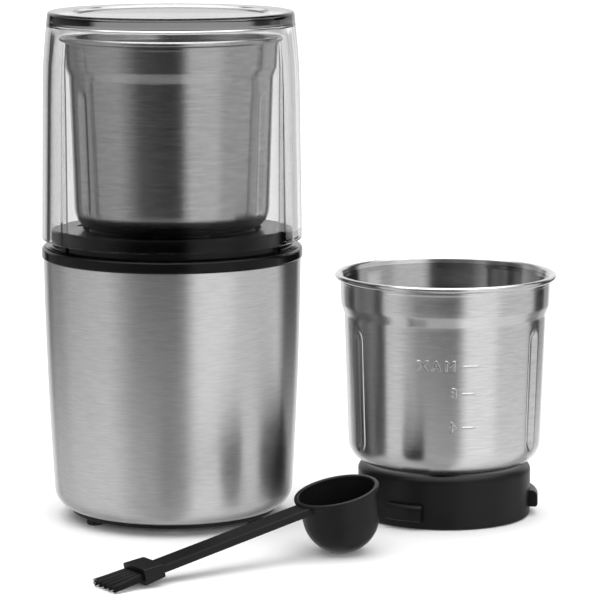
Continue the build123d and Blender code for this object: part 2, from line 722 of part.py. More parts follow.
def armature_winding():
    inner = SHAFT_R + SEATED
    end = turned(
        [(inner, 0), (WINDING_R, 0), (WINDING_R, WINDING), (inner, WINDING)],
        [0, 0, WINDING_ROUND, WINDING_ROUND / 2],
    )
    return group([Pos(0, 0, STACK_Z + STACK) * end, Pos(0, 0, STACK_Z) * Rot(180, 0, 0) * end])


def commutator():
    return ring(COMMUTATOR_R, SHAFT_R + SEATED, COMMUTATOR_HEIGHT + AIR_GAP, COMMUTATOR_Z)


def cooling_fan():
    fan = rod(FAN_HUB_R, FAN_HEIGHT, FAN_Z) + rod(FAN_R, FAN_DISC, FAN_Z + FAN_HEIGHT - FAN_DISC)
    blade = Box(FAN_DISC, FAN_R - SHAFT_R - FAN_DISC, FAN_HEIGHT, align=FRONTWARD)
    blade = front(SHAFT_R + FAN_DISC, FAN_Z) * blade
    fan += about(blade, [360 / FAN_BLADES * i for i in range(FAN_BLADES)])
    return fan - rod(SHAFT_R + SEATED, FAN_HEIGHT + 2 * OVERRUN, FAN_Z - OVERRUN)


def dogs(turn):
    """Driving dogs, standing at zero, the first one turned from the front."""
    dog = extrude(sector(DOG_INNER_R, DOG_R, DOG_SPAN), DOG_HEIGHT)
    return about(dog, [turn + 360 / DOG_COUNT * i for i in range(DOG_COUNT)])


def drive_coupling():
    body = rod(DOG_DISC_R, DOG_DISC) + rod(DOG_HUB_R, DOG_DISC + DOG_HUB + DOG_LIFT)
    body += [Pos(0, 0, DOG_DISC) * dog for dog in dogs(0)]
    body -= rod(SHAFT_R + SEATED, DOG_DISC + DOG_HUB + OVERRUN, -OVERRUN)
    return Pos(0, 0, DRIVE_Z) * body


def cup_coupling():
    """Driven half of the coupling, dogs down, in the cup's own frame."""
    low = COUPLING_Z - DOG_HEIGHT
    body = rod(DOG_DISC_R, DOG_DISC, COUPLING_Z) + rod(DOG_HUB_R, 2 * DOG_DISC, COUPLING_Z - DOG_DISC)
    body += [Pos(0, 0, low) * dog for dog in dogs(180 / DOG_COUNT)]
    return body - rod(BLADE_SHAFT_R + SEATED, 2 * DOG_DISC, COUPLING_Z - DOG_DISC / 2)


def cup_shell():
    hole = BUSH_R + SEATED
    floor = CUP_FLOOR_RISE
    step_top = CUP_STEP_LOW + CUP_STEP
    bead_z = CUP_HEIGHT - BEAD_R
    wall = turned(
        [
            (hole, floor),
            (CUP_LOW_R, floor),
            (CUP_BODY_R, CUP_STEP_LOW),
            (CUP_NECK_LOW_R, step_top),
            (CUP_NECK_R, bead_z - CUP_FLARE),
            (BEAD_PITCH_R, bead_z),
            (BEAD_PITCH_R - CUP_WALL, bead_z),
            (CUP_NECK_R - CUP_WALL, bead_z - CUP_FLARE),
            (CUP_NECK_LOW_R - CUP_WALL, step_top),
            (CUP_BODY_R - CUP_WALL, CUP_STEP_LOW),
            (CUP_LOW_R - CUP_WALL, floor + CUP_WALL),
            (hole, floor + CUP_WALL),
        ],
        [
            0,
            CUP_CORNER,
            CUP_STEP_ROUND,
            CUP_STEP_ROUND,
            CUP_STEP_ROUND,
            0,
            0,
            CUP_STEP_ROUND,
            CUP_STEP_ROUND,
            CUP_STEP_ROUND,
            CUP_CORNER - CUP_WALL,
            0,
        ],
    )
    bead = revolve(Plane.XZ * Pos(BEAD_PITCH_R, bead_z) * Circle(BEAD_R), Axis.Z)
    blank = turned(
        [(0, floor), (CUP_LOW_R, floor), (CUP_BODY_R, CUP_STEP_LOW), (0, CUP_STEP_LOW)],
        [0, CUP_CORNER, 0, 0],
    )
    wall += bead
    wall += [blank & bump for bump in about(flute(CUP_WALL), FLUTE_TURNS)]
    return wall - about(flute(0), FLUTE_TURNS)


def flute(extra):
    """Round-ended bar that presses one upright flute into the wall, at the front, grown by extra."""
    radius = FLUTE_R + extra
    pitch = CUP_LOW_R + (FLUTE_RISE - CUP_FLOOR_RISE) * CUP_SLOPE - FLUTE_DEPTH + FLUTE_R
    bar = Cylinder(radius, FLUTE_LENGTH)
    bar += [Pos(0, 0, side * FLUTE_LENGTH / 2) * Sphere(radius) for side in (-1, 1)]
    return front(pitch, FLUTE_RISE) * Rot(degrees(atan2(CUP_SLOPE, 1)), 0, 0) * bar


def cup_base():
    web_z = BASE_HEIGHT - BASE_WEB
    hole = BUSH_R + SEATED
    base = turned(
        [
            (BASE_R, 0),
            (BASE_R, BASE_HEIGHT),
            (BASE_PAD_R, BASE_HEIGHT),
            (BASE_PAD_R, CUP_FLOOR_RISE),
            (hole, CUP_FLOOR_RISE),
            (hole, web_z),
            (BASE_R - BASE_WALL, web_z),
            (BASE_R - BASE_WALL, 0),
        ],
        [BASE_LOW_EDGE, BASE_TOP_EDGE, 0, 0, 0, 0, BASE_LOW_EDGE, BASE_LOW_EDGE / 2],
    )
    lug = extrude(sector(BASE_R - BASE_WALL / 2, LUG_R, LUG_SPAN), LUG_HEIGHT)
    for level, rounding in ((-1, LUG_EDGE), (0, LUG_LOW_EDGE)):
        arcs = lug.edges().filter_by(GeomType.CIRCLE).group_by(Axis.Z)[level]
        lug = fillet(arcs.sort_by(SortBy.RADIUS)[-1], rounding)
    lug = Pos(0, 0, LUG_LOW) * lug
    return base + about(lug, LUG_TURNS)


def cup_bushing():
    flange_z = CUP_FLOOR_RISE + CUP_WALL + CUP_SEAL
    bore = BLADE_SHAFT_R + RUNNING
    return turned(
        [
            (bore, BUSH_LOW),
            (BUSH_R, BUSH_LOW),
            (BUSH_R, flange_z),
            (BUSH_FLANGE_R, flange_z),
            (BUSH_FLANGE_R, flange_z + BUSH_FLANGE),
            (BUSH_R, flange_z + BUSH_FLANGE),
            (BUSH_R, BUSH_TOP),
            (bore, BUSH_TOP),
        ],
        [0, 0, 0, 0, BUSH_EDGE, 0, BUSH_EDGE, 0],
    )


def cup_seal():
    return ring(CUP_SEAL_R, BUSH_R + SEATED, CUP_SEAL, CUP_FLOOR_RISE + CUP_WALL)


def cup_locknut():
    z = BASE_HEIGHT - BASE_WEB - LOCKNUT_HEIGHT
    nut = Pos(0, 0, z) * extrude(RegularPolygon(LOCKNUT_R, 6), LOCKNUT_HEIGHT)
    return nut - rod(BUSH_R + SEATED, LOCKNUT_HEIGHT + 2 * OVERRUN, z - OVERRUN)


def blade_shaft():
    low = COUPLING_Z - DOG_DISC / 2 + SEATED
    return rod(BLADE_SHAFT_R, BLADE_Z - low, low) + rod(BLADE_STUD_R, BLADE_STUD, BLADE_Z)


def blade_nut():
    z = BLADE_Z + BLADE
    crown = turned(
        [(0, 0), (BLADE_NUT_R, 0), (BLADE_NUT_R, BLADE_NUT), (0, BLADE_NUT)],
        [0, 0, BLADE_NUT / 2, 0],
    )
    nut = crown & extrude(RegularPolygon(BLADE_NUT_R, 6), BLADE_NUT)
    return Pos(0, 0, z) * nut - rod(BLADE_STUD_R + SEATED, BLADE_STUD - BLADE, z)


def wing(rise):
    """One blade wing on +X, flat at the hub, then bent to rise or fall to its tip, with a ground edge."""
    side = make_face(
        Polyline(
            (0, 0),
            (BLADE_BEND_R, 0),
            (BLADE_R, rise),
            (BLADE_R, rise + BLADE),
            (BLADE_BEND_R, BLADE),
            (0, BLADE),
            close=True,
        )
    )
    strip = extrude(Plane.XZ * side, BLADE_ROOT_WIDTH / 2, both=True)
    trailing = ThreePointArc(
        (BLADE_BEND_R, BLADE_ROOT_WIDTH / 2),
        (BLADE_R * BLADE_BOW_SHARE, BLADE_TIP_WIDTH * BLADE_BOW_SHARE),
        (BLADE_R, BLADE_TIP_WIDTH * (1 - BLADE_TIP_LEAD_SHARE)),
    )
    leading = Line(
        (BLADE_R, -BLADE_TIP_WIDTH * BLADE_TIP_LEAD_SHARE),
        (BLADE_BEND_R, -BLADE_ROOT_WIDTH / 2),
    )
    hub_end = Line((0, BLADE_ROOT_WIDTH / 2), trailing @ 0)
    hub_start = Line(leading @ 1, (0, -BLADE_ROOT_WIDTH / 2))
    tip = Line(trailing @ 1, leading @ 0)
    root = Line(hub_start @ 1, hub_end @ 0)
    plan = make_face([hub_end, trailing, tip, leading, hub_start, root])
    return strip & Pos(0, 0, -BLADE_R) * extrude(plan, 2 * BLADE_R)


def blade(rises):
    """Blade of as many wings as there are rises, spread evenly about the hub."""
    body = rod(BLADE_HUB_R, BLADE)
    body += [Rot(0, 0, 360 / len(rises) * i) * wing(rise) for i, rise in enumerate(rises)]
    return Pos(0, 0, BLADE_Z) * (body - rod(BLADE_STUD_R + SEATED, BLADE + 2 * OVERRUN, -OVERRUN))


def grinding_blade():
    return blade((GRINDING_RISE, GRINDING_RISE))


def chopping_blade():
    return blade((CHOPPING_RISE, -CHOPPING_DROP, CHOPPING_RISE, -CHOPPING_DROP))


def bowl_ball():
    """Height of the bowl's round bottom's centre below the rim."""
    return BOWL_DEPTH - BOWL_LOW_R


def scoop_tilt():
    """Angle, in degrees, at which the bowl's bottom and the bristles' tips both touch the table."""
    lean = radians(BOWL_LEAN)
    reach = HEAD_REACH + BRISTLE_LENGTH + BRISTLE_STAGGER + bowl_ball() * sin(lean)
    fan = BRUSH_HEIGHT * BRISTLE_THINNING_SHARE
    drop = HEAD_DROP + fan / 2 + BRISTLE_R - bowl_ball() * cos(lean)
    return degrees(asin(BOWL_LOW_R / hypot(reach, drop)) - atan2(drop, reach))


def scoop_place():
    """Frame of the scoop: rim's centre, X along the handle, Z up from it."""
    tilt = radians(scoop_tilt())
    heading = radians(SCOOP_HEADING)
    along = Vector(cos(heading) * cos(tilt), sin(heading) * cos(tilt), -sin(tilt))
    up = Vector(cos(heading) * sin(tilt), sin(heading) * sin(tilt), cos(tilt))
    rim_z = bowl_ball() * cos(tilt + radians(BOWL_LEAN)) + BOWL_LOW_R
    return Plane((SCOOP_X, SCOOP_Y, rim_z), x_dir=along, z_dir=up)


def bowl_solid(inset):
    """Filled bowl, moved in by inset, open end at zero."""
    centre = -bowl_ball()
    top = Line((0, 0), (BOWL_R - inset, 0))
    side = Line(top @ 1, (BOWL_LOW_R - inset, centre))
    low = BOWL_LOW_R - inset
    bottom = ThreePointArc(side @ 1, (low * sin(pi / 4), centre - low * cos(pi / 4)), (0, centre - low))
    return revolve(Plane.XZ * make_face([top, side, bottom, Line(bottom @ 1, top @ 0)]), Axis.Z)


def scoop_handle():
    """Flat tapered handle from the bowl's axis into the head, rounded along its upper edges."""
    end = HEAD_REACH - HEAD_LENGTH + HEAD_EDGE
    near = HANDLE_BOWL_WIDTH / 2
    far = HANDLE_HEAD_WIDTH / 2
    plan = make_face(Polyline((0, -near), (end, -far), (end, far), (0, near), close=True))
    handle = extrude(plan, -HANDLE)
    upper = handle.edges().group_by(Axis.Z)[-1].sort_by(SortBy.LENGTH)[-2:]
    return Pos(0, 0, -HANDLE_DROP) * fillet(upper, HANDLE_EDGE)


def scoop_head():
    """Brush head, thicker towards the bristles, with the socket that takes them."""
    start = HEAD_REACH - HEAD_LENGTH
    root = HEAD_ROOT_HEIGHT / 2
    tip = HEAD_TIP_HEIGHT / 2
    side = make_face(Polyline((start, -root), (HEAD_REACH, -tip), (HEAD_REACH, tip), (start, root), close=True))
    head = extrude(Plane.XZ * side, HEAD_WIDTH / 2, both=True)
    lengthwise = head.edges().filter_by(Axis.Y, reverse=True).filter_by(Axis.Z, reverse=True)
    head = fillet(lengthwise, HEAD_EDGE)
    socket = Box(
        SOCKET_DEPTH + OVERRUN,
        HEAD_WIDTH - 2 * SOCKET_WALL,
        BRUSH_HEIGHT,
        align=(Align.MIN, Align.CENTER, Align.CENTER),
    )
    return Pos(0, 0, -HEAD_DROP) * (head - Pos(HEAD_REACH - SOCKET_DEPTH, 0, 0) * socket)


def measuring_scoop():
    lean = Rot(0, BOWL_LEAN, 0)
    inner_r = BOWL_R - BOWL_WALL
    lip = turned(
        [
            (inner_r, -LIP_HEIGHT),
            (LIP_R, -LIP_HEIGHT),
            (LIP_R, 0),
            (inner_r + LIP_BEVEL, 0),
            (inner_r, -LIP_BEVEL),
        ],
        [0, LIP_EDGE, LIP_EDGE, 0, 0],
    )
    bowl = bowl_solid(0) - rod(BOWL_R + OVERRUN, LIP_BEVEL + OVERRUN, -LIP_BEVEL)
    body = lean * bowl + scoop_handle()
    body -= lean * (bowl_solid(BOWL_WALL) + rod(LIP_R - LIP_EDGE, LIP_HEIGHT + OVERRUN, -LIP_HEIGHT))
    body += lean * lip
    return scoop_place().location * (body + scoop_head())


def brush_bristles():
    width = HEAD_WIDTH - 2 * SOCKET_WALL - 2 * SEATED
    height = BRUSH_HEIGHT - 2 * SEATED
    start = HEAD_REACH - SOCKET_DEPTH + SEATED
    middle = -HEAD_DROP
    backing = Box(BRISTLE_BACKING, width, height, align=(Align.MIN, Align.CENTER, Align.CENTER))
    backing = Pos(start, 0, middle) * backing
    root_x = start + BRISTLE_BACKING / 2
    tip_x = HEAD_REACH + BRISTLE_LENGTH
    strands = []
    for column in range(BRISTLE_COLUMNS):
        across = (column + 0.5) / BRISTLE_COLUMNS - 0.5
        wave = 2 * pi * BRISTLE_TUFTS
        tuft = across - BRISTLE_TUFT_SHARE * sin(wave * across) / wave
        for row in range(BRISTLE_ROWS):
            up = row / (BRISTLE_ROWS - 1) - 0.5
            root = Vector(
                root_x,
                across * (width - 2 * BRISTLE_MARGIN),
                middle + up * (height - 2 * BRISTLE_MARGIN),
            )
            uneven = BRISTLE_STAGGER * sin(column * 2.4 + row * 1.7)
            tip = Vector(
                tip_x + uneven,
                tuft * width * BRISTLE_SPREAD_SHARE,
                middle + up * height * BRISTLE_THINNING_SHARE,
            )
            section = Plane(root, x_dir=(0, 1, 0), z_dir=(1, 0, 0)) * RegularPolygon(BRISTLE_R, 3)
            strands.append(Solid.extrude(section.face(), tip - root))
    return scoop_place().location * backing.solid().fuse(*strands)


in_place = Pos(0, 0, CUP_Z)
spare_place = Pos(SPARE_X, SPARE_Y, 0) * Rot(0, 0, SPARE_TURN)
cup_pieces = {
    "shell": cup_shell(),
    "base": cup_base(),
    "bushing": cup_bushing(),
    "seal": cup_seal(),
    "locknut": cup_locknut(),
    "coupling": cup_coupling(),
}
shaft = blade_shaft()
nut = blade_nut()

nodes = {
    "body_sleeve": body_sleeve(),
    "top_deck": top_deck(),
    "motor_frame": motor_frame(),
    "bottom_cover": bottom_cover(),
    "rubber_feet": rubber_feet(),
    "cover_screws": cover_screws(),
    "deck_screws": deck_screws(),
    "cord_gland": cord_gland(),
    "stator_core": stator_core(),
    "field_coils": field_coils(),
    "upper_bracket": upper_bracket(),
    "lower_bracket": lower_bracket(),
    "upper_bearing": bearing(UPPER_BRACKET_Z),
    "lower_bearing": bearing(LOWER_BRACKET_Z),
    "brush_holders": brush_holders(),
    "carbon_brushes": carbon_brushes(),
    "motor_bolts": motor_bolts(),
    "motor_mounts": motor_mounts(),
    "mount_screws": mount_screws(),
    "shaft_seal": shaft_seal(),
    "lid_switch": lid_switch(),
    "plunger_spring": plunger_spring(),
    "lid_plunger": lid_plunger(),
    "lid": lid(),
    "motor_shaft": motor_shaft(),
    "armature_core": armature_core(),
    "armature_winding": armature_winding(),
    "commutator": commutator(),
    "cooling_fan": cooling_fan(),
    "drive_coupling": drive_coupling(),
    "blade_shaft": in_place * shaft,
    "grinding_blade": in_place * grinding_blade(),
    "blade_nut": in_place * nut,
    "spare_shaft": spare_place * shaft,
    "chopping_blade": spare_place * chopping_blade(),
    "spare_nut": spare_place * nut,
    "measuring_scoop": measuring_scoop(),
    "brush_bristles": brush_bristles(),
}
for name, piece in cup_pieces.items():
    nodes["cup_" + name] = in_place * piece
    nodes["spare_" + name] = spare_place * piece

os.makedirs("parts", exist_ok=True)
for name, piece in nodes.items():
    export_step(piece, f"parts/{name}.step")
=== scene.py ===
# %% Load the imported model
import math

import bmesh
import bpy
from mathutils import Matrix, Vector


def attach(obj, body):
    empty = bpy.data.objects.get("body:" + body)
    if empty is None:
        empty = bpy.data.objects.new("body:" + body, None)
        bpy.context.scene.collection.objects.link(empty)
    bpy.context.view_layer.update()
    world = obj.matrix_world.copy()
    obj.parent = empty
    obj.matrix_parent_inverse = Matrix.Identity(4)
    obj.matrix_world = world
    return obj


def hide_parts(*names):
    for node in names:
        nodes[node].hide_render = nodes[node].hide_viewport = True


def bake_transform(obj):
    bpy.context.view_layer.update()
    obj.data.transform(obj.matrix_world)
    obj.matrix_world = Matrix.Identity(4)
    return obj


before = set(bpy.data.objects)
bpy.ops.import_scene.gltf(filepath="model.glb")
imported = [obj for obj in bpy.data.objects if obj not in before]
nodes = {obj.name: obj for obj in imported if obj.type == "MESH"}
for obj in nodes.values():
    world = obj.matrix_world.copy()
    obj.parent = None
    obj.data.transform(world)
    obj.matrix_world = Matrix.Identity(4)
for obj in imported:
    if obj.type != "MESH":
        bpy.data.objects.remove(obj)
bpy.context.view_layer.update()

MM = 0.001
scene = bpy.context.scene


# %% [markdown]
# The camera stands where the photograph was taken from: a long lens, about 1.3 m away, above the lid.
# A long lens keeps the tall walls nearly upright. It stands almost straight in front of the grinder and is
# turned a few degrees to the right, so that the spare cup and the scoop share the picture.

# %% Camera
CAMERA_PLACE = Vector((-22.1, -1272.7, 285.0)) * MM
CAMERA_TURN = math.radians(3.3)
CAMERA_DROP = math.radians(8.82)
CAMERA_LENS, SENSOR_WIDTH = 192.0, 36.0
SIGHT_FROM, SIGHT_TO = 0.05, 60.0
QUARTER_TURN = math.radians(90)

camera_data = bpy.data.cameras.new("camera")
camera_data.lens = CAMERA_LENS
camera_data.sensor_width = SENSOR_WIDTH
camera_data.clip_start = SIGHT_FROM
camera_data.clip_end = SIGHT_TO
camera = bpy.data.objects.new("camera", camera_data)
camera.location = CAMERA_PLACE
camera.rotation_euler = (QUARTER_TURN - CAMERA_DROP, 0, -CAMERA_TURN)
scene.collection.objects.link(camera)
scene.camera = camera
scene.view_settings.view_transform = "Standard"
print("camera", [round(v, 4) for v in camera.location])

# %% [markdown]
# Light and finishes are small trees of shader nodes. A few helpers keep those trees short: one feeds a
# socket, one adds any node, and the others add the kinds of node that come up again and again.

# %% Helpers for shader nodes
MIX_SHARE, MIX_FIRST, MIX_SECOND, MIX_RESULT = 0, 6, 7, 2  # places of the Mix node's colour sockets
RANGE_ENDS = ("From Min", "From Max", "To Min", "To Max")


def feed(tree, socket, value):
    """Links a socket to another socket, or sets it to a plain value."""
    if hasattr(value, "is_linked"):
        tree.links.new(value, socket)
    else:
        socket.default_value = value


def add(tree, kind, **values):
    """Adds a node. A value goes to the input of its name or, without one, to the node's own option."""
    node = tree.nodes.new(kind)
    for name, value in values.items():
        if name in node.inputs:
            feed(tree, node.inputs[name], value)
        else:
            setattr(node, name, value)
    return node


def math_node(tree, operation, *operands):
    """Works on sockets or numbers and gives the result."""
    node = add(tree, "ShaderNodeMath", operation=operation)
    for socket, operand in zip(node.inputs, operands):
        feed(tree, socket, operand)
    return node.outputs[0]


def map_range(tree, value, from_low, from_high, to_low=0.0, to_high=1.0, kind="LINEAR"):
    """Maps a value from one range to another and stops at the ends."""
    node = add(tree, "ShaderNodeMapRange", interpolation_type=kind, Value=value)
    for name, end in zip(RANGE_ENDS, (from_low, from_high, to_low, to_high)):
        node.inputs[name].default_value = end
    return node.outputs[0]


def mix_colours(tree, share, first, second):
    """Mixes two colours by a share. The first may be a socket."""
    node = add(tree, "ShaderNodeMix", data_type="RGBA")
    feed(tree, node.inputs[MIX_SHARE], share)
    feed(tree, node.inputs[MIX_FIRST], first if hasattr(first, "is_linked") else (*first, 1))
    feed(tree, node.inputs[MIX_SECOND], (*second, 1))
    return node.outputs[MIX_RESULT]


def mirrored(tree, times):
    """1 for a ray that has met so many mirrors or more, else 0."""
    count = add(tree, "ShaderNodeLightPath").outputs["Glossy Depth"]
    return math_node(tree, "GREATER_THAN", count, times - 0.5)


print("helpers ready")

# %% [markdown]
# Every finish starts in the same way: a material with its shader, a colour, a roughness, and coordinates for
# its grain. Object coordinates are taken, not the UV map, so the grain has a real size in metres.

# %% Frame of a finish
def grey(value):
    return (value, value, value)


def finish_frame(name, colour, roughness, metallic=0.0):
    """New material with its shader, and its Object coordinates ready to drive a texture."""
    material = bpy.data.materials.new(name)
    material.use_nodes = True
    tree = material.node_tree
    shader = tree.nodes["Principled BSDF"]
    shader.inputs["Base Color"].default_value = (*colour, 1)
    shader.inputs["Roughness"].default_value = roughness
    shader.inputs["Metallic"].default_value = metallic
    place = add(tree, "ShaderNodeTexCoord").outputs["Object"]
    return material, tree, shader, place


print("frame of a finish ready")

# %% [markdown]
# Steel shows what stands around it, so the light is planned as a room with upright bands of bright and dark
# wall. Real panels could do that, but each would bring noise and shadows. The bands are drawn in the world's
# own shader instead, by the compass direction of a ray, which gives clean reflections.

# %% Walls of the room
# Compass direction from the camera's side towards +X, in degrees, and the brightness of the wall there
ROOM_BANDS = (
    (-180, 0.88), (-155, 0.84), (-151, 0.05), (-143, 0.05), (-138, 0.30), (-122, 0.28), (-108, 0.50),
    (-62, 0.60), (-50, 0.38), (-36, 0.11), (0, 0.03), (9, 0.07), (20, 0.93), (52, 0.93), (60, 0.66),
    (106, 0.70), (112, 0.03), (151, 0.02), (155, 0.84), (180, 0.88),
)
CAMERA_SIDE = 0.5  # place on the ramp of the direction towards the camera's side

world = bpy.data.worlds.new("studio")
scene.world = world
world.use_nodes = True
tree = world.node_tree
tree.nodes.clear()
way = add(tree, "ShaderNodeTexCoord").outputs["Generated"]
rightward, backward, upward = add(tree, "ShaderNodeSeparateXYZ", Vector=way).outputs
compass = math_node(tree, "ARCTAN2", rightward, math_node(tree, "MULTIPLY", backward, -1.0))
bands = add(tree, "ShaderNodeValToRGB")
feed(tree, bands.inputs[0], math_node(tree, "MULTIPLY_ADD", compass, 1 / math.tau, CAMERA_SIDE))
stops = bands.color_ramp.elements
while len(stops) < len(ROOM_BANDS):
    stops.new(CAMERA_SIDE)
for stop, (degrees, light) in zip(stops, ROOM_BANDS):
    stop.position = degrees / 360 + CAMERA_SIDE
    stop.color = (*grey(light), 1)
print(len(stops), "stops in the bands of light")

# %% [markdown]
# Over the room hangs a large soft panel, which lights the table from above, and its back wall is white above
# the horizon, as the photograph's ground is. A mirror image of a mirror image gets only a part of the
# world's light, so that places where steel faces steel grow darker.

# %% Ceiling and back wall
OVERHEAD_LIGHT = 2.6
OVERHEAD_FROM, OVERHEAD_TO = 0.66, 0.86  # sines of the heights where the panel begins and is full
BACK_WALL_LIGHT = 1.0
BACK_WALL_FROM, BACK_WALL_TO = 0.55, 0.8  # how far back a ray points where the wall begins and is full
HORIZON_BLEND = 0.12
SECOND_MIRROR_SHARE = 0.35

behind = map_range(tree, backward, BACK_WALL_FROM, BACK_WALL_TO, kind="SMOOTHSTEP")
above = map_range(tree, upward, 0.0, HORIZON_BLEND, kind="SMOOTHSTEP")
back_wall = math_node(tree, "MULTIPLY", behind, above)
walls = mix_colours(tree, back_wall, bands.outputs[0], grey(BACK_WALL_LIGHT))
overhead = map_range(tree, upward, OVERHEAD_FROM, OVERHEAD_TO, kind="SMOOTHSTEP")
room = mix_colours(tree, overhead, walls, grey(OVERHEAD_LIGHT))
left_over = math_node(tree, "MULTIPLY_ADD", mirrored(tree, 2), SECOND_MIRROR_SHARE - 1, 1.0)
background = add(tree, "ShaderNodeBackground", Color=room, Strength=left_over)
tree.links.new(background.outputs[0], add(tree, "ShaderNodeOutputWorld").inputs[0])
print("world of", len(tree.nodes), "nodes")

# %% [markdown]
# The floor is pale, plain paper. In mirror reflections it fades out with distance, so that the steel sees
# the bands below the horizon too, and grows lighter towards its foot.

# %% Floor
FLOOR_HALF = 14.0
FLOOR_DROP = 0.05 * MM
FLOOR_TINT, FLOOR_ROUGHNESS = 0.92, 1.0
SHEEN_SHARE = 0.44  # how much of the floor a mirror reflection shows beside the grinder
SHEEN_NEAR, SHEEN_FAR = 0.10, 0.50  # distances from the grinder between which that fades out

floor_mesh = bpy.data.meshes.new("floor")
corners = [(x * FLOOR_HALF, y * FLOOR_HALF, -FLOOR_DROP) for x, y in ((-1, -1), (1, -1), (1, 1), (-1, 1))]
floor_mesh.from_pydata(corners, [], [(0, 1, 2, 3)])
floor = bpy.data.objects.new("floor", floor_mesh)
scene.collection.objects.link(floor)
paper, tree, shader, place = finish_frame("pale_floor", grey(FLOOR_TINT), FLOOR_ROUGHNESS)
shader.inputs["Specular IOR Level"].default_value = 0.0
distance = add(tree, "ShaderNodeVectorMath", operation="LENGTH")
tree.links.new(place, distance.inputs[0])
fade = map_range(tree, distance.outputs["Value"], SHEEN_NEAR, SHEEN_FAR, 1 - SHEEN_SHARE, 1.0)
opened = add(tree, "ShaderNodeMixShader")
clear = add(tree, "ShaderNodeBsdfTransparent").outputs[0]
sources = (math_node(tree, "MULTIPLY", fade, mirrored(tree, 1)), shader.outputs[0], clear)
for socket, source in zip(opened.inputs, sources):
    tree.links.new(source, socket)
tree.links.new(opened.outputs[0], tree.nodes["Material Output"].inputs["Surface"])
floor_mesh.materials.append(paper)
print("floor", 2 * FLOOR_HALF, "m across")

# %% [markdown]
# A weak, wide lamp low in front fills the shadow under the housing. A white card could do it, but would
# show in the steel, which already has its bands. A lamp can be kept out of mirrors and of the clear lid.

# %% Fill light
FILL_PLACE = Vector((0.1, -0.9, 0.22))
FILL_AIM = Vector((0.03, 0.0, 0.0))
FILL_WIDTH, FILL_HEIGHT = 1.2, 0.3
FILL_POWER = 6.0


def area_lamp(name, width, height, power, place, heading):
    """Rectangular lamp that shines along a heading."""
    data = bpy.data.lights.new(name, "AREA")
    data.shape = "RECTANGLE"
    data.size = width
    data.size_y = height
    data.energy = power
    lamp = bpy.data.objects.new(name, data)
    lamp.location = place
    lamp.rotation_euler = heading.to_track_quat("-Z", "Y").to_euler()
    scene.collection.objects.link(lamp)
    print(name, "of", round(power, 4), "W")
    return lamp


fill = area_lamp("fill", FILL_WIDTH, FILL_HEIGHT, FILL_POWER, FILL_PLACE, FILL_AIM - FILL_PLACE)
fill.visible_glossy = False
fill.visible_transmission = False

# %% [markdown]
# Two small upright panels of light stand close on the right, one behind the lid and one behind the spare
# cup, and lighten the right edges of the two cups. Glowing cards would be pieces of the scene, so these are
# lamps. Only mirror reflections see them.

# %% Edge panels
# Two ends of each panel on the floor plan, its lower and upper edge, all in metres, and its brightness
PANELS = {
    "spare_panel": ((0.176, 0.004), (0.158, 0.030), 0.0, 0.09, 0.40),
    "lid_panel": ((0.070, -0.010), (0.062, 0.020), 0.114, 0.203, 0.66),
}
for name, (start, end, low, high, light) in PANELS.items():
    near, far = Vector((*start, low)), Vector((*end, high))
    across = Vector((far.x - near.x, far.y - near.y, 0))
    power = light * math.pi * across.length * (high - low)
    facing = Vector((-across.y, across.x, 0))
    panel = area_lamp(name, across.length, high - low, power, (near + far) / 2, facing)
    panel.visible_camera = False
    panel.visible_diffuse = False
    panel.data.use_nodes = True
    tree = panel.data.node_tree
    tree.links.new(mirrored(tree, 1), tree.nodes["Emission"].inputs["Strength"])

# %% [markdown]
# Most finishes here are one of a few kinds: brushed steel, black plastic with more or less grain, rubber,
# bright metal. A picture could give each its grain, but would repeat and show a seam. Noise does neither.
# It changes the colour, the roughness and the relief of a surface.

# %% Grain of a finish
NOISE_LOW, NOISE_HIGH = 0.3, 0.7  # most values of a noise lie between these
NOISE_DETAIL = 4.0
EVEN = (1, 1, 1)


def grain(tree, place, scale, stretch=EVEN, detail=NOISE_DETAIL):
    """Noise of so many grains to the metre, stretched along the axes, as a value from 0 to 1."""
    mapping = add(tree, "ShaderNodeMapping", Vector=place, Scale=stretch)
    noise = add(tree, "ShaderNodeTexNoise", Vector=mapping.outputs[0], Scale=scale, Detail=detail)
    return noise.outputs["Fac"]


def spread(tree, value, low, high):
    """Maps the middle of a noise value to a range."""
    return map_range(tree, value, NOISE_LOW, NOISE_HIGH, low, high)


def tinted(tree, shader, value, dark, light):
    """Lets the colour go from dark to light with a noise value."""
    tree.links.new(mix_colours(tree, spread(tree, value, 0.0, 1.0), dark, light), shader.inputs["Base Color"])


def roughened(tree, shader, value, roughness, uneven_share):
    """Lets the roughness go up and down by a share of itself with a noise value."""
    low, high = roughness * (1 - uneven_share), roughness * (1 + uneven_share)
    tree.links.new(spread(tree, value, low, high), shader.inputs["Roughness"])


def relief(tree, shader, value, depth, strength):
    """Bump of a real depth in metres."""
    bump = add(tree, "ShaderNodeBump", Height=value, Distance=depth, Strength=strength)
    tree.links.new(bump.outputs[0], shader.inputs["Normal"])


print("grain ready")

# %% [markdown]
# The housing and the cups are brushed round their axis: fine grooves that run level. Such grooves smear a
# reflection up and down and leave it sharp from side to side, which is why the steel shows upright bands.
# The shader's anisotropy does that, along the level direction of the piece's own UV map. Short, broader
# streaks lie among the grooves and can be seen from a step away.

# %% Brushed steel
GROOVES, GROOVE_STRETCH = 5200.0, (0.015, 0.015, 1.0)  # to the metre, and drawn out level
STREAKS, STREAK_STRETCH = 1500.0, (0.11, 0.11, 1.0)
LINE_DETAIL = 2.0
GROOVE_SHARE, STREAK_SHARE = 0.3, 0.7
STEEL_TINT_SHARE, STEEL_UNEVEN_SHARE = 0.1, 0.08
GROOVE_DEPTH, GROOVE_STRENGTH = 0.0012 * MM, 0.25
LEVEL = 0.25  # share of a turn between the UV map's tangent and the way in which the light is smeared


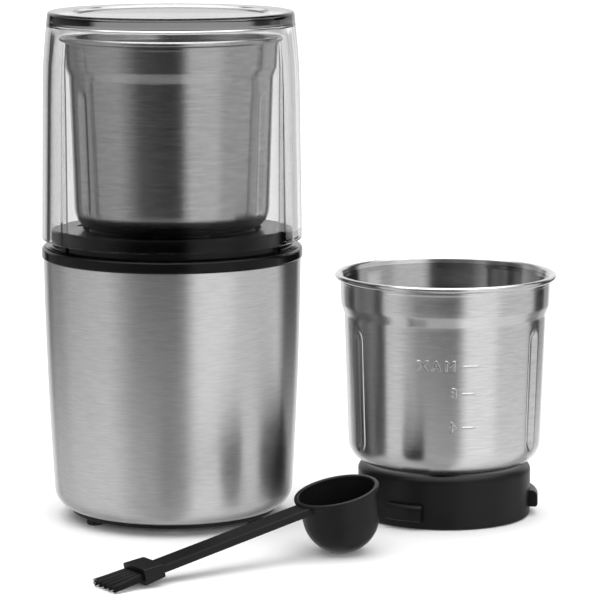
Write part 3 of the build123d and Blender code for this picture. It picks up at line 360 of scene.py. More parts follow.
def brushed_steel(name, tint, roughness, anisotropy):
    material, tree, shader, place = finish_frame(name, grey(tint), roughness, 1.0)
    grooves = grain(tree, place, GROOVES, GROOVE_STRETCH, LINE_DETAIL)
    streaks = grain(tree, place, STREAKS, STREAK_STRETCH, LINE_DETAIL)
    broad = math_node(tree, "MULTIPLY", streaks, STREAK_SHARE)
    lines = math_node(tree, "MULTIPLY_ADD", grooves, GROOVE_SHARE, broad)
    dark, light = grey(tint * (1 - STEEL_TINT_SHARE)), grey(tint * (1 + STEEL_TINT_SHARE))
    tinted(tree, shader, lines, dark, light)
    roughened(tree, shader, lines, roughness, STEEL_UNEVEN_SHARE)
    relief(tree, shader, grooves, GROOVE_DEPTH, GROOVE_STRENGTH)
    shader.inputs["Anisotropic"].default_value = anisotropy
    shader.inputs["Anisotropic Rotation"].default_value = LEVEL
    around = add(tree, "ShaderNodeTangent", direction_type="UV_MAP", uv_map="UVMap")
    tree.links.new(around.outputs[0], shader.inputs["Tangent"])
    return material


housing_steel = brushed_steel("housing_brushed_steel", tint=0.62, roughness=0.31, anisotropy=0.8)
cup_steel = brushed_steel("cup_brushed_steel", tint=0.66, roughness=0.25, anisotropy=0.75)
# Darker tint of the same steel for the spare cup's inside: painted shade for the hollow of the cup.
cup_inside_painted_shade = brushed_steel("cup_inside_painted_shade_steel", tint=0.44, roughness=0.19, anisotropy=0.75)
print("steel finishes made")

# %% [markdown]
# The deck is gloss black, and the cups' bases, the scoop and the cover are black with a fine moulded grain.
# The grain breaks the shine into a soft sheen. Real bumps that small would need millions of faces, so the
# grain is relief in the shader. Rubber is rougher still.

# %% Black plastics and rubber
PATCHES, PATCH_DETAIL = 60.0, 2.0
PLASTIC_TINT_SHARE, PLASTIC_UNEVEN_SHARE = 0.15, 0.15
SKIN_STRENGTH = 0.5
PLAIN_SHINE = 0.5


def moulded(name, tint, roughness, grains, depth, shine=PLAIN_SHINE):
    material, tree, shader, place = finish_frame(name, grey(tint), roughness)
    shader.inputs["Specular IOR Level"].default_value = shine
    skin = grain(tree, place, grains)
    patches = grain(tree, place, PATCHES, detail=PATCH_DETAIL)
    dark, light = grey(tint * (1 - PLASTIC_TINT_SHARE)), grey(tint * (1 + PLASTIC_TINT_SHARE))
    tinted(tree, shader, patches, dark, light)
    roughened(tree, shader, skin, roughness, PLASTIC_UNEVEN_SHARE)
    relief(tree, shader, skin, depth, SKIN_STRENGTH)
    return material


gloss_black = moulded("gloss_black", tint=0.003, roughness=0.12, grains=900, depth=0.001 * MM, shine=0.16)
matte_black = moulded("matte_black", tint=0.005, roughness=0.38, grains=2600, depth=0.010 * MM, shine=0.21)
frame_grey = moulded("frame_plastic", tint=0.09, roughness=0.5, grains=1800, depth=0.01 * MM)
coupling_black = moulded("coupling_plastic", tint=0.03, roughness=0.4, grains=1800, depth=0.01 * MM)
foot_rubber = moulded("foot_rubber", tint=0.012, roughness=0.75, grains=1500, depth=0.02 * MM, shine=0.3)
bristle_nylon = moulded(
    "bristle_nylon", tint=0.006, roughness=0.34, grains=3000, depth=0.004 * MM, shine=0.26)
print("plastics made")

# %% [markdown]
# The blades and their nuts are polished, the motor's parts are plain steel, enamelled copper and bronze.
# Most of them show only when the lid and the cup are off, yet each gets its own finish: one even tint would
# look like paint, so faint tool marks change the tint and the roughness.

# %% Bright and plain metals
METAL_DARK_SHARE, METAL_UNEVEN_SHARE = 0.8, 0.2
TOOL_MARKS, TOOL_MARK_DEPTH, TOOL_MARK_STRENGTH = 700.0, 0.003 * MM, 0.4
ALONG_BLADE, ALONG_SHEETS = (1, 0.1, 1), (0.02, 0.02, 1)


def plain_metal(name, colour, roughness, lines=TOOL_MARKS, stretch=EVEN, depth=TOOL_MARK_DEPTH):
    material, tree, shader, place = finish_frame(name, colour, roughness, 1.0)
    marks = grain(tree, place, lines, stretch)
    tinted(tree, shader, marks, tuple(c * METAL_DARK_SHARE for c in colour), colour)
    roughened(tree, shader, marks, roughness, METAL_UNEVEN_SHARE)
    relief(tree, shader, marks, depth, TOOL_MARK_STRENGTH)
    return material


pressed_steel = plain_metal("pressed_steel", grey(0.66), roughness=0.17)
blade_bright = plain_metal(
    "blade_polished_steel", grey(0.72), roughness=0.16, lines=500, stretch=ALONG_BLADE)
machine_steel = plain_metal("machine_steel", grey(0.45), roughness=0.38)
core_iron = plain_metal(
    "core_laminations", grey(0.2), roughness=0.5, lines=1500, stretch=ALONG_SHEETS, depth=0.05 * MM)
winding_copper = plain_metal(
    "winding_copper", (0.55, 0.25, 0.11), roughness=0.35, lines=1600, depth=0.08 * MM)
bearing_bronze = plain_metal("bearing_bronze", (0.5, 0.37, 0.17), roughness=0.4)
print("metals made")

# %% [markdown]
# The lid is clear, faintly grey acrylic with real wall thickness, so it bends light at its edges and shows
# dark lines there. It needs a closed mesh with smooth walls. A glass shader would do, but this one can also
# weaken the lid's own reflections, of which the photograph shows hardly any.

# %% Clear plastic
LID_TINT, LID_REFLECTION = 0.80, 0.15
LID_BENDING = 1.47  # index of refraction, close to that of acrylic
LID_CLOUDS = 40.0
LID_ROUGHNESS, LID_SMOOTHEST, LID_ROUGHEST = 0.015, 0.008, 0.022

clear_smoke, tree, shader, place = finish_frame("clear_lid", grey(LID_TINT), LID_ROUGHNESS)
shader.inputs["Transmission Weight"].default_value = 1.0
shader.inputs["IOR"].default_value = LID_BENDING
shader.inputs["Specular Tint"].default_value = (*grey(LID_REFLECTION), 1)
clouds = spread(tree, grain(tree, place, LID_CLOUDS), LID_SMOOTHEST, LID_ROUGHEST)
tree.links.new(clouds, shader.inputs["Roughness"])
print("clear plastic made")

# %% [markdown]
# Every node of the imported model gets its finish. The round pieces in plain view are then made again with
# finer walls further down, and take the place of their nodes.

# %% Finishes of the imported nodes
FINISHES = {
    housing_steel: ["body_sleeve"],
    cup_steel: ["cup_shell", "spare_shell"],
    gloss_black: ["top_deck"],
    clear_smoke: ["lid"],
    matte_black: ["cup_base", "spare_base", "measuring_scoop", "bottom_cover", "carbon_brushes"],
    frame_grey: ["motor_frame", "brush_holders", "lid_switch", "cooling_fan", "lid_plunger"],
    coupling_black: ["drive_coupling", "cup_coupling", "spare_coupling"],
    bristle_nylon: ["brush_bristles"],
    foot_rubber: ["rubber_feet", "cord_gland", "motor_mounts", "shaft_seal", "cup_seal", "spare_seal"],
    blade_bright: [
        "grinding_blade", "chopping_blade", "blade_shaft", "spare_shaft", "blade_nut", "spare_nut"],
    machine_steel: [
        "motor_shaft", "cover_screws", "deck_screws", "mount_screws", "motor_bolts", "plunger_spring",
        "upper_bracket", "lower_bracket"],
    core_iron: ["stator_core", "armature_core"],
    winding_copper: ["field_coils", "armature_winding", "commutator"],
    bearing_bronze: [
        "upper_bearing", "lower_bearing", "cup_bushing", "spare_bushing", "cup_locknut", "spare_locknut"],
}
for material, names in FINISHES.items():
    for name in names:
        nodes[name].data.materials.clear()
        nodes[name].data.materials.append(material)
bare = sorted(set(nodes) - {name for names in FINISHES.values() for name in names})
print("finished", len(nodes) - len(bare), "nodes, without a finish:", bare)

# %% [markdown]
# A turned piece follows one rule: an outline, rounded at its corners, goes once round an axis. The Screw
# modifier could sweep it, but flutes and ribs have to change the radius on the way. So functions do it, and
# the first of them round the outline's corners and divide its long runs.

# %% Outlines
ARC_STEP = math.radians(9)
STRAIGHT = 1e-4  # a corner that turns by less, in radians, isn't rounded


def rounded_outline(corners, arc_step=ARC_STEP):
    """Points of a closed outline from corners (radius, height, rounding), in millimetres."""
    points = []
    count = len(corners)
    for i, (r, z, rounding) in enumerate(corners):
        here = Vector((r, z))
        before = (Vector(corners[i - 1][:2]) - here).normalized()
        after = (Vector(corners[(i + 1) % count][:2]) - here).normalized()
        turn = math.pi - before.angle(after)
        if rounding == 0 or turn < STRAIGHT:
            points.append(here)
            continue
        reach = rounding * math.tan(turn / 2)
        middle = (before + after).normalized()
        centre = here + middle * (rounding / math.cos(turn / 2))
        start = here + before * reach - centre
        end = here + after * reach - centre
        swing = start.angle_signed(end)
        steps = max(2, math.ceil(turn / arc_step))
        for k in range(steps + 1):
            points.append(centre + Matrix.Rotation(-swing * k / steps, 2) @ start)
    return points


def divided(points, longest):
    """The same closed outline with its long runs divided."""
    made = []
    for i, point in enumerate(points):
        following = points[(i + 1) % len(points)]
        parts = max(1, math.ceil((following - point).length / longest))
        made += [point.lerp(following, k / parts) for k in range(parts)]
    return made


def round_turns(count):
    """So many even turns round an axis, in degrees."""
    return [360 / count * i for i in range(count)]


print("outlines ready")

# %% [markdown]
# The sweep sets one column of points at each turn and joins neighbours with faces. It lays the UV map at the
# same time, with U round the axis, because brushed steel needs to know which way is level.

# %% Turning
MERGE, SLIVER = 1e-7, 1e-8  # metres
SHARP_TURN = math.radians(32)
UV_LENGTH = 100  # millimetres of outline to one unit of the UV map


def swept(outline, turns, shape, centre):
    """Points of an outline at each turn round an upright axis, in metres."""
    points = []
    for turn in turns:
        angle = math.radians(turn[0] if isinstance(turn, tuple) else turn)
        for i, (r, z) in enumerate(outline):
            radius = shape(turn, i, r, z) if shape else r
            x, y = centre[0] + radius * math.sin(angle), centre[1] - radius * math.cos(angle)
            points.append((x * MM, y * MM, z * MM))
    return points


def turned(name, outline, turns, shape=None, centre=(0, 0)):
    """Closed mesh swept round an upright axis.

    Turns are angles from the front, in degrees, or pairs of an angle and a sign for shape, which may move
    a point's radius.
    """
    rows, columns = len(outline), len(turns)
    along = [0.0]
    for i in range(rows):
        along.append(along[-1] + (outline[(i + 1) % rows] - outline[i]).length)
    faces, corners_uv = [], []
    for c in range(columns):
        d = (c + 1) % columns
        left, right = c / columns, (c + 1) / columns
        for i in range(rows):
            j = (i + 1) % rows
            low, high = along[i] / UV_LENGTH, along[i + 1] / UV_LENGTH
            faces.append((c * rows + i, d * rows + i, d * rows + j, c * rows + j))
            corners_uv += [left, low, right, low, right, high, left, high]
    mesh = bpy.data.meshes.new(name)
    mesh.from_pydata(swept(outline, turns, shape, centre), [], faces)
    mesh.uv_layers.new(name="UVMap").data.foreach_set("uv", corners_uv)
    work = bmesh.new()
    work.from_mesh(mesh)
    bmesh.ops.remove_doubles(work, verts=work.verts, dist=MERGE)
    bmesh.ops.dissolve_degenerate(work, edges=work.edges, dist=SLIVER)
    bmesh.ops.recalc_face_normals(work, faces=work.faces)
    work.to_mesh(mesh)
    work.free()
    mesh.shade_smooth()
    mesh.set_sharp_from_angle(angle=SHARP_TURN)
    piece = bpy.data.objects.new(name, mesh)
    scene.collection.objects.link(piece)
    return piece


print("turning ready")

# %% [markdown]
# A finished piece needs three things: a plain mesh without modifiers, a finish, and a place among the
# moving bodies. Two small functions see to that.

# %% Settling a piece
def settle(piece, material, body, slot, *replaced):
    """Gives a piece its finish, its body and the nodes that it stands for."""
    piece.data.materials.clear()
    piece.data.materials.append(material)
    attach(piece, body)
    if replaced:
        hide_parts(*replaced)
    print(piece.name, len(piece.data.polygons), "faces on", body)


def plain_mesh(piece):
    """Mesh of a piece with its modifiers worked out."""
    bpy.context.view_layer.update()
    return bpy.data.meshes.new_from_object(piece.evaluated_get(bpy.context.evaluated_depsgraph_get()))


print("settling ready")

# %% [markdown]
# The housing is a drawn steel shell: a slightly bowed side, widest at the top, and a rounded lower corner.
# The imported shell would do, but facets show in a mirror, so it is turned again in finer steps. The bow is
# part of a circle through three points, and the corner is an arc that leaves the side without a kink.

# %% Outline of the housing
SLEEVE_Z, SLEEVE_TOP_Z = 4.2, 105.6
SLEEVE_POINTS = ((51.5, SLEEVE_TOP_Z), (50.45, 62.0), (48.0, 12.2))
SLEEVE_EDGE_R = 40.5
SLEEVE_WALL = 0.8
SIDE_STEPS, CORNER_STEPS = 24, 14


def circle_through(a, b, c):
    """Centre and radius of the circle through three points."""
    (ax, ay), (bx, by), (cx, cy) = a, b, c
    d = 2 * (ax * (by - cy) + bx * (cy - ay) + cx * (ay - by))
    x = ((ax**2 + ay**2) * (by - cy) + (bx**2 + by**2) * (cy - ay) + (cx**2 + cy**2) * (ay - by)) / d
    y = ((ax**2 + ay**2) * (cx - bx) + (bx**2 + by**2) * (ax - cx) + (cx**2 + cy**2) * (bx - ax)) / d
    return Vector((x, y)), math.hypot(ax - x, ay - y)


def sleeve_outline(inset, low):
    """Points down the housing's side and round its lower corner, moved in by inset."""
    top, belly, foot = [Vector((r - inset, z)) for r, z in SLEEVE_POINTS]
    centre, radius = circle_through(top, belly, foot)
    first = math.asin((top.y - centre.y) / radius)
    last = math.asin((foot.y - centre.y) / radius)
    points = []
    for k in range(SIDE_STEPS + 1):
        angle = first + (last - first) * k / SIDE_STEPS
        points.append(centre + radius * Vector((math.cos(angle), math.sin(angle))))
    heading = Vector((math.sin(last), -math.cos(last)))
    chord = Vector((SLEEVE_EDGE_R, low)) - points[-1]
    bend = 2 * heading.angle(chord)
    corner_r = chord.length / 2 / math.sin(bend / 2)
    hub = points[-1] + corner_r * Vector((-math.cos(last), -math.sin(last)))
    arm = points[-1] - hub
    for k in range(1, CORNER_STEPS + 1):
        points.append(hub + Matrix.Rotation(-bend * k / CORNER_STEPS, 2) @ arm)
    return points


outer = sleeve_outline(0, SLEEVE_Z)
inner = sleeve_outline(SLEEVE_WALL, SLEEVE_Z + SLEEVE_WALL)
print("housing of", len(outer) + len(inner), "points")

# %% [markdown]
# At the back of the housing, a round hole takes the bush of the mains lead. A Boolean modifier cuts it with
# a cylinder that lies level, and is then made part of the mesh.

# %% Housing
HOUSING_TURNS = 192
HOLE_R, HOLE_Z, HOLE_DEPTH = 4.65, 24.2, 20.0
HOLE_SIDES = 48

housing = turned("housing_shell", outer + inner[::-1], round_turns(HOUSING_TURNS))
drill = bpy.data.objects.new("drill", bpy.data.meshes.new("drill"))
work = bmesh.new()
bmesh.ops.create_cone(
    work, cap_ends=True, segments=HOLE_SIDES, radius1=HOLE_R * MM, radius2=HOLE_R * MM, depth=HOLE_DEPTH * MM)
work.to_mesh(drill.data)
work.free()
at_back = Matrix.Translation(Vector((0, SLEEVE_POINTS[-1][0], HOLE_Z)) * MM)
drill.data.transform(at_back @ Matrix.Rotation(QUARTER_TURN, 4, "X"))
scene.collection.objects.link(drill)
cutter = housing.modifiers.new("hole", "BOOLEAN")
cutter.object = drill
cutter.solver = "EXACT"
cutter.operation = "DIFFERENCE"
drilled = plain_mesh(housing)
housing.modifiers.remove(cutter)
housing.data = drilled
bpy.data.objects.remove(drill)
settle(housing, housing_steel, "base", "sleeve_steel", "body_sleeve")

# %% [markdown]
# The lid is one clear moulding with a shallow dish in its top and three upright ribs inside. Separate ribs
# would show a false wall where two clear solids touch, so they belong to the same closed mesh: at a rib's
# two sides the sweep stops twice at one angle, once on the wall and once on the rib's edge.

# %% Lid
LID_Z, LID_TOP_Z = 113.2, 203.8
LID_WALL, LID_TOP_WALL = 3.2, 5.0
LID_LOW_R, LID_SHOULDER_R, LID_TOP_R = 52.05, 51.0, 49.0
LID_SHOULDER_Z = LID_TOP_Z - 20.5
DISH_R, DISH_FLOOR_R, DISH_DEPTH = 39.0, 37.4, 1.0
LIP_ROUND, SHOULDER_ROUND, TOP_ROUND, DISH_ROUND, INNER_ROUND = 0.7, 200.0, 1.3, 1.0, 1.6
LID_ARC_STEP = math.radians(6)
RIB_TURNS = (-60, 60, 180)
RIB_HALF, RIB_INNER_R = 0.8, 46.9
LID_TURN_STEP = 2  # degrees
CLOSE = 1e-3  # millimetres

LID_INNER_Z = LID_TOP_Z - LID_TOP_WALL
DISH_Z = LID_TOP_Z - DISH_DEPTH
lid_outline = rounded_outline(
    [
        (LID_LOW_R, LID_Z, LIP_ROUND),
        (LID_SHOULDER_R, LID_SHOULDER_Z, SHOULDER_ROUND),
        (LID_TOP_R, LID_TOP_Z, TOP_ROUND),
        (DISH_R, LID_TOP_Z, DISH_ROUND),
        (DISH_FLOOR_R, DISH_Z, DISH_ROUND),
        (0, DISH_Z, 0),
        (0, LID_INNER_Z, 0),
        (LID_TOP_R - LID_WALL, LID_INNER_Z, INNER_ROUND),
        (LID_SHOULDER_R - LID_WALL, LID_SHOULDER_Z, SHOULDER_ROUND),
        (LID_LOW_R - LID_WALL, LID_Z, LIP_ROUND),
    ],
    LID_ARC_STEP,
)
rib_side = math.degrees(RIB_HALF / RIB_INNER_R)
rib_stops = ((-rib_side, False), (-rib_side, True), (rib_side, True), (rib_side, False))
lid_turns = []
for rib in sorted(turn % 360 for turn in RIB_TURNS):
    lid_turns += [(rib + side, on_rib) for side, on_rib in rib_stops]
    lid_turns += [(rib + step, False) for step in range(LID_TURN_STEP, 360 // len(RIB_TURNS), LID_TURN_STEP)]
inner_start = next(i for i, p in enumerate(lid_outline) if p.x == 0 and abs(p.y - LID_INNER_Z) < CLOSE)


def lid_shape(turn, i, r, z):
    """Draws the inner wall in to the edge of a rib."""
    on_rib = turn[1] and i >= inner_start
    return min(r, RIB_INNER_R) if on_rib else r


lid = turned("clear_lid_shell", lid_outline, lid_turns, lid_shape)
settle(lid, clear_smoke, "lid", "clear_smoke", "lid")

# %% [markdown]
# Both cups are the same: a thin drawn shell with a rounded floor, a step below the rim and a rolled bead.
# The outline goes up the outside, round the bead and down the inside.

# %% Outline of the cups
CUP_WALL = 0.7
FLOOR_RISE, STEP_LOW, CUP_HEIGHT = 21.9, 82.3, 98.7
AXLE_HOLE_R, LOW_R, BODY_R, STEP_R, COLLAR_R, RIM_R = 6.05, 38.6, 40.6, 41.95, 42.2, 44.4
FLOOR_ROUND, STEP_ROUND = 9.0, 2.4
STEP_RISE, COLLAR_DROP = 4.0, 2.6
BEAD_R, BEAD_FROM, BEAD_SWEEP, BEAD_STEPS = 1.15, -150, 330, 14
LONGEST_RUN = 1.6

BEAD_Z = CUP_HEIGHT - BEAD_R
bead = []
for k in range(BEAD_STEPS + 1):
    angle = math.radians(BEAD_FROM + BEAD_SWEEP * k / BEAD_STEPS)
    bead.append(Vector((RIM_R - BEAD_R + BEAD_R * math.cos(angle), BEAD_Z + BEAD_R * math.sin(angle))))
wall_corners = [
    (LOW_R, FLOOR_RISE, FLOOR_ROUND),
    (BODY_R, STEP_LOW, STEP_ROUND),
    (STEP_R, STEP_LOW + STEP_RISE, STEP_ROUND),
    (COLLAR_R, BEAD_Z - COLLAR_DROP, STEP_ROUND),
    (RIM_R - BEAD_R, BEAD_Z, 0),
]
inner_corners = [(r - CUP_WALL, z, rounding) for r, z, rounding in wall_corners[1:]]
inner_floor = (LOW_R - CUP_WALL, FLOOR_RISE + CUP_WALL, FLOOR_ROUND - CUP_WALL)
cup_corners = [(AXLE_HOLE_R, FLOOR_RISE, 0), *wall_corners, *inner_corners[::-1], inner_floor]
cup_corners.append((AXLE_HOLE_R, FLOOR_RISE + CUP_WALL, 0))
plain = rounded_outline(cup_corners)
top = min(i for i, p in enumerate(plain) if p.y > BEAD_Z - CLOSE)
cup_outline = divided(plain[:top] + bead + plain[top + 2:], LONGEST_RUN)
print("cup of", len(cup_outline), "points")

# %% [markdown]
# Three upright flutes stiffen each cup. A flute is where a round-ended bar would press the wall in, with
# its edge softened. A Boolean cut would leave a hard edge, so a flute is worked out as a change of radius
# while the wall is swept.

# %% Flutes
FLUTE_TURNS = (-60, 60, 180)
FLUTE_R, FLUTE_DEPTH, FLUTE_SOFT = 4.6, 1.3, 0.5
FLUTE_MIDDLE, FLUTE_HALF = 53.5, 21.0
FLUTE_SPAN = 0.3  # radians to each side of its middle that a flute can reach
FLUTED_FROM, FLUTED_DEPTH = 2.0, 4.0  # how far above the floor and how far inside the wall flutes may reach
CUP_TURNS = 150
FLUTE_TURN_STEP, FLUTE_TURN_STEPS = 0.6, 14

SLOPE = (BODY_R - LOW_R) / (STEP_LOW - FLOOR_RISE)
near_flutes = range(-FLUTE_TURN_STEPS, FLUTE_TURN_STEPS + 1)
fine_turns = {round((f + k * FLUTE_TURN_STEP) % 360, 3) for f in FLUTE_TURNS for k in near_flutes}
cup_turns = sorted({round(t, 3) for t in round_turns(CUP_TURNS)} | fine_turns)


def wall_radius(height):
    """Radius of a cup's plain wall at a height above its foot."""
    return LOW_R + (height - FLOOR_RISE) * SLOPE


def soft_min(a, b, soft):
    """The lesser of two lengths, with the corner between them rounded."""
    h = max(0.0, min(1.0, 0.5 + 0.5 * (b - a) / soft))
    return b + (a - b) * h - soft * h * (1 - h)


def cup_shape(base_z, turn_offset):
    """Gives the rule that presses the flutes into a cup."""
    def shape(turn, i, r, z):
        height = z - base_z
        if height < FLOOR_RISE + FLUTED_FROM or height > STEP_LOW or r < LOW_R - FLUTED_DEPTH:
            return r
        wall = wall_radius(height)
        inside = 0.0 if r > wall - CUP_WALL / 2 else CUP_WALL
        least = r
        for flute in FLUTE_TURNS:
            offset = math.radians((turn - turn_offset - flute + 180) % 360 - 180)
            across = wall * math.sin(offset)
            beyond = max(0.0, abs(height - FLUTE_MIDDLE) - FLUTE_HALF)
            left = (FLUTE_R + inside) ** 2 - across**2 - beyond**2
            if abs(offset) > FLUTE_SPAN or left <= 0:
                continue
            groove = wall - FLUTE_DEPTH + FLUTE_R - math.sqrt(left)
            least = min(least, soft_min(r, groove, FLUTE_SOFT))
        return least
    return shape


print("flutes of", len(cup_turns), "turns")

# %% [markdown]
# One cup sits in the deck, under the lid, and the spare stands on the table. The spare is open to view; its
# inside gets a darker tint of the same steel, painted shade for the cup's hollow. Mirror reflections leave
# the spare out, because the photograph shows no image of it on the housing.

# %% Cups
CUP_Z = 95.8
SPARE_X, SPARE_Y, SPARE_TURN = 109.7, -3.85, -4.8
UPWARD = 0.5  # height of the normal from which a face counts as floor


def cup(name, base_z, centre, turn_offset, body, node):
    outline = [Vector((p.x, p.y + base_z)) for p in cup_outline]
    turns = [t + turn_offset for t in cup_turns]
    piece = turned(name, outline, turns, cup_shape(base_z, turn_offset), centre)
    settle(piece, cup_steel, body, "cup_steel", node)
    return piece


cup("cup_steel_shell", CUP_Z, (0, 0), 0.0, "cup", "cup_shell")
spare = cup("spare_steel_shell", 0.0, (SPARE_X, SPARE_Y), SPARE_TURN, "spare_cup", "spare_shell")
spare.visible_glossy = False
spare.data.materials.append(cup_inside_painted_shade)
# Faces on the inside of the spare, below its bead, get the darker tint: painted shade.
middle = Vector((SPARE_X, SPARE_Y, 0)) * MM
for face in spare.data.polygons:
    out = face.center - middle
    inward = face.normal.x * out.x + face.normal.y * out.y < 0
    if face.center.z < (BEAD_Z - BEAD_R) * MM and (inward or face.normal.z > UPWARD):
        face.material_index = 1

# %% [markdown]
# The spare cup carries filling marks, pressed out from inside, so that they read the right way round only
# from inside: a word, two figures and three short lines. Each is flat lettering first, then every point goes
# to the wall by three rules: sideways becomes an angle, up stays up, and thickness stands out from the wall.

# %% Lettering
MARK_STAND, MARK_SINK = 0.4, 0.1  # how far a mark stands out of the wall and reaches into it
MARK_BEVEL_STEPS = 3
LETTER_SIZE, LETTER_GAP = 5.6, 1.5
LETTER_THIN = 0.12  # how far the strokes' flat tops are narrowed, so that a stroke is a round ridge


def flat_text(text):
    """Mesh of a piece of lettering, centred, with rounded edges, in millimetres."""
    data = bpy.data.curves.new("mark", "FONT")
    data.body = text
    data.size = LETTER_SIZE
    data.space_character = LETTER_GAP
    data.align_x = "CENTER"
    data.align_y = "CENTER"
    data.extrude = MARK_SINK
    data.bevel_depth = MARK_STAND
    data.bevel_resolution = MARK_BEVEL_STEPS
    data.offset = -LETTER_THIN
    writer = bpy.data.objects.new("mark", data)
    scene.collection.objects.link(writer)
    mesh = plain_mesh(writer)
    bpy.data.objects.remove(writer)
    bpy.data.curves.remove(data)
    return mesh


def wall_point(turn, height, stand):
    """Point on the spare cup's wall, standing out from it."""
    radius = wall_radius(height) + stand
    angle = math.radians(turn)
    return Vector((SPARE_X + radius * math.sin(angle), SPARE_Y - radius * math.cos(angle), height)) * MM


print("lettering ready")

# %% [markdown]
# The marks could be relief in a shader, but a real ridge catches the light at its edge and can be seen from
# the side. Lettering and lines are gathered in one mesh, which rides on the spare cup.

# %% Filling marks
# Text, height above the table and the turn of its middle from the front; then the line's two turns
MARKS = (("MAX", 66.9, -10.4, 4.3, 14.2), ("8", 56.0, -0.9, 3.9, 11.5), ("4", 42.4, -0.8, 4.2, 11.9))
LINE_WIDTH, LINE_STEPS, LINE_END_SHARE = 0.9, 10, 0.6
MARK_SHARP_TURN = math.radians(40)


def line_profile(k):
    """Section of a line at one of its steps, as (up, out): a flat-topped ridge, narrower at its two ends."""
    half = LINE_WIDTH / 2 * (LINE_END_SHARE if k in (0, LINE_STEPS) else 1.0)
    rising = [(-half, -MARK_SINK), (-half, 0), (-half / 2, MARK_STAND)]
    return rising + [(-up, out) for up, out in rising[::-1]]


marks = bmesh.new()
uv = marks.loops.layers.uv.new("UVMap")
turn_per_mm = math.degrees(1 / (LOW_R + BODY_R) * 2)
for text, height, turn, line_from, line_to in MARKS:
    lettering = flat_text(text)
    first = len(marks.verts)
    marks.from_mesh(lettering)
    bpy.data.meshes.remove(lettering)
    marks.verts.ensure_lookup_table()
    for vert in marks.verts[first:]:
        x, y, z = vert.co
        vert.co = wall_point(turn - x * turn_per_mm, height + y, z - MARK_SINK)
    rings = []
    for k in range(LINE_STEPS + 1):
        here = line_from + (line_to - line_from) * (k / LINE_STEPS)
        rings.append([marks.verts.new(wall_point(here, height + up, out)) for up, out in line_profile(k)])
    for near, far in zip(rings, rings[1:]):
        for i in range(len(near)):
            j = (i + 1) % len(near)
            marks.faces.new((near[i], near[j], far[j], far[i]))
    marks.faces.new(rings[0][::-1])
    marks.faces.new(rings[-1])
for face in marks.faces:
    for loop in face.loops:
        spot = loop.vert.co / MM
        loop[uv].uv = (math.atan2(spot.x - SPARE_X, SPARE_Y - spot.y) / math.tau, spot.z / UV_LENGTH)
bmesh.ops.recalc_face_normals(marks, faces=marks.faces)
marks_mesh = bpy.data.meshes.new("filling_marks")
marks.to_mesh(marks_mesh)
marks.free()
marks_mesh.shade_smooth()
marks_mesh.set_sharp_from_angle(angle=MARK_SHARP_TURN)
filling_marks = bpy.data.objects.new("filling_marks", marks_mesh)
scene.collection.objects.link(filling_marks)
settle(filling_marks, pressed_steel, "spare_cup", "cup_steel")

# %% [markdown]
# The scoop lies on the table, on the lowest point of its bowl and on the tips of its brush. Both are known in
# the scoop's own frame, with its origin over the bowl and its handle along X, so its tilt can be worked out.
# The brush is made in that frame and then moved with it.

# %% Frame of the scoop
HEAD_REACH, HEAD_WIDTH, HEAD_DROP = 92.9, 14.8, 2.35
SOCKET_WALL, SOCKET_DEPTH, BRUSH_HEIGHT = 1.1, 4.0, 3.0
BRISTLE_LENGTH, BRISTLE_STAGGER, BRISTLE_R = 13.1, 1.0, 0.12
FAN_SHARE, THIN_SHARE = 1.42, 0.9
BOWL_LOW_R, BOWL_BALL, BOWL_LEAN = 14.9, 10.1, math.radians(2.0)
SCOOP_X, SCOOP_Y, SCOOP_HEADING = 60.9, -73.9, math.radians(211.2)

tip_reach = HEAD_REACH + BRISTLE_LENGTH + BRISTLE_STAGGER + BOWL_BALL * math.sin(BOWL_LEAN)
tip_drop = HEAD_DROP + BRUSH_HEIGHT * THIN_SHARE / 2 + BRISTLE_R - BOWL_BALL * math.cos(BOWL_LEAN)
tilt = math.asin(BOWL_LOW_R / math.hypot(tip_reach, tip_drop)) - math.atan2(tip_drop, tip_reach)
over_bowl = Vector((SCOOP_X, SCOOP_Y, BOWL_BALL * math.cos(tilt + BOWL_LEAN) + BOWL_LOW_R)) * MM
turned_scoop = Matrix.Rotation(SCOOP_HEADING, 4, "Z") @ Matrix.Rotation(tilt, 4, "Y")
scoop_matrix = Matrix.Translation(over_bowl) @ turned_scoop
print("scoop tilted by", round(math.degrees(tilt), 2), "degrees")

# %% [markdown]
# The brush is a flat bundle of nylon strands. Hair could grow them, but Geometry Nodes keep every size as a
# named input. A grid gives one point for each root, and a straight line of length one stands on each. A
# point of such a line holds three shares: how far along its strand it is, how far across the brush and how
# far up. The tree works out the real place from those: the strands fan out, gather into tufts, end unevenly
# and stray a little, all from a fixed seed.

# %% Inputs of the brush
SIDE_PLAY, RISE_PLAY, ROOT_PLAY = 0.9, 0.6, 1.0  # room between the strands and the socket
RANDOM_LOW, RANDOM_HIGH, RANDOM_RESULT = 2, 3, 1  # places of the Random Value node's number sockets

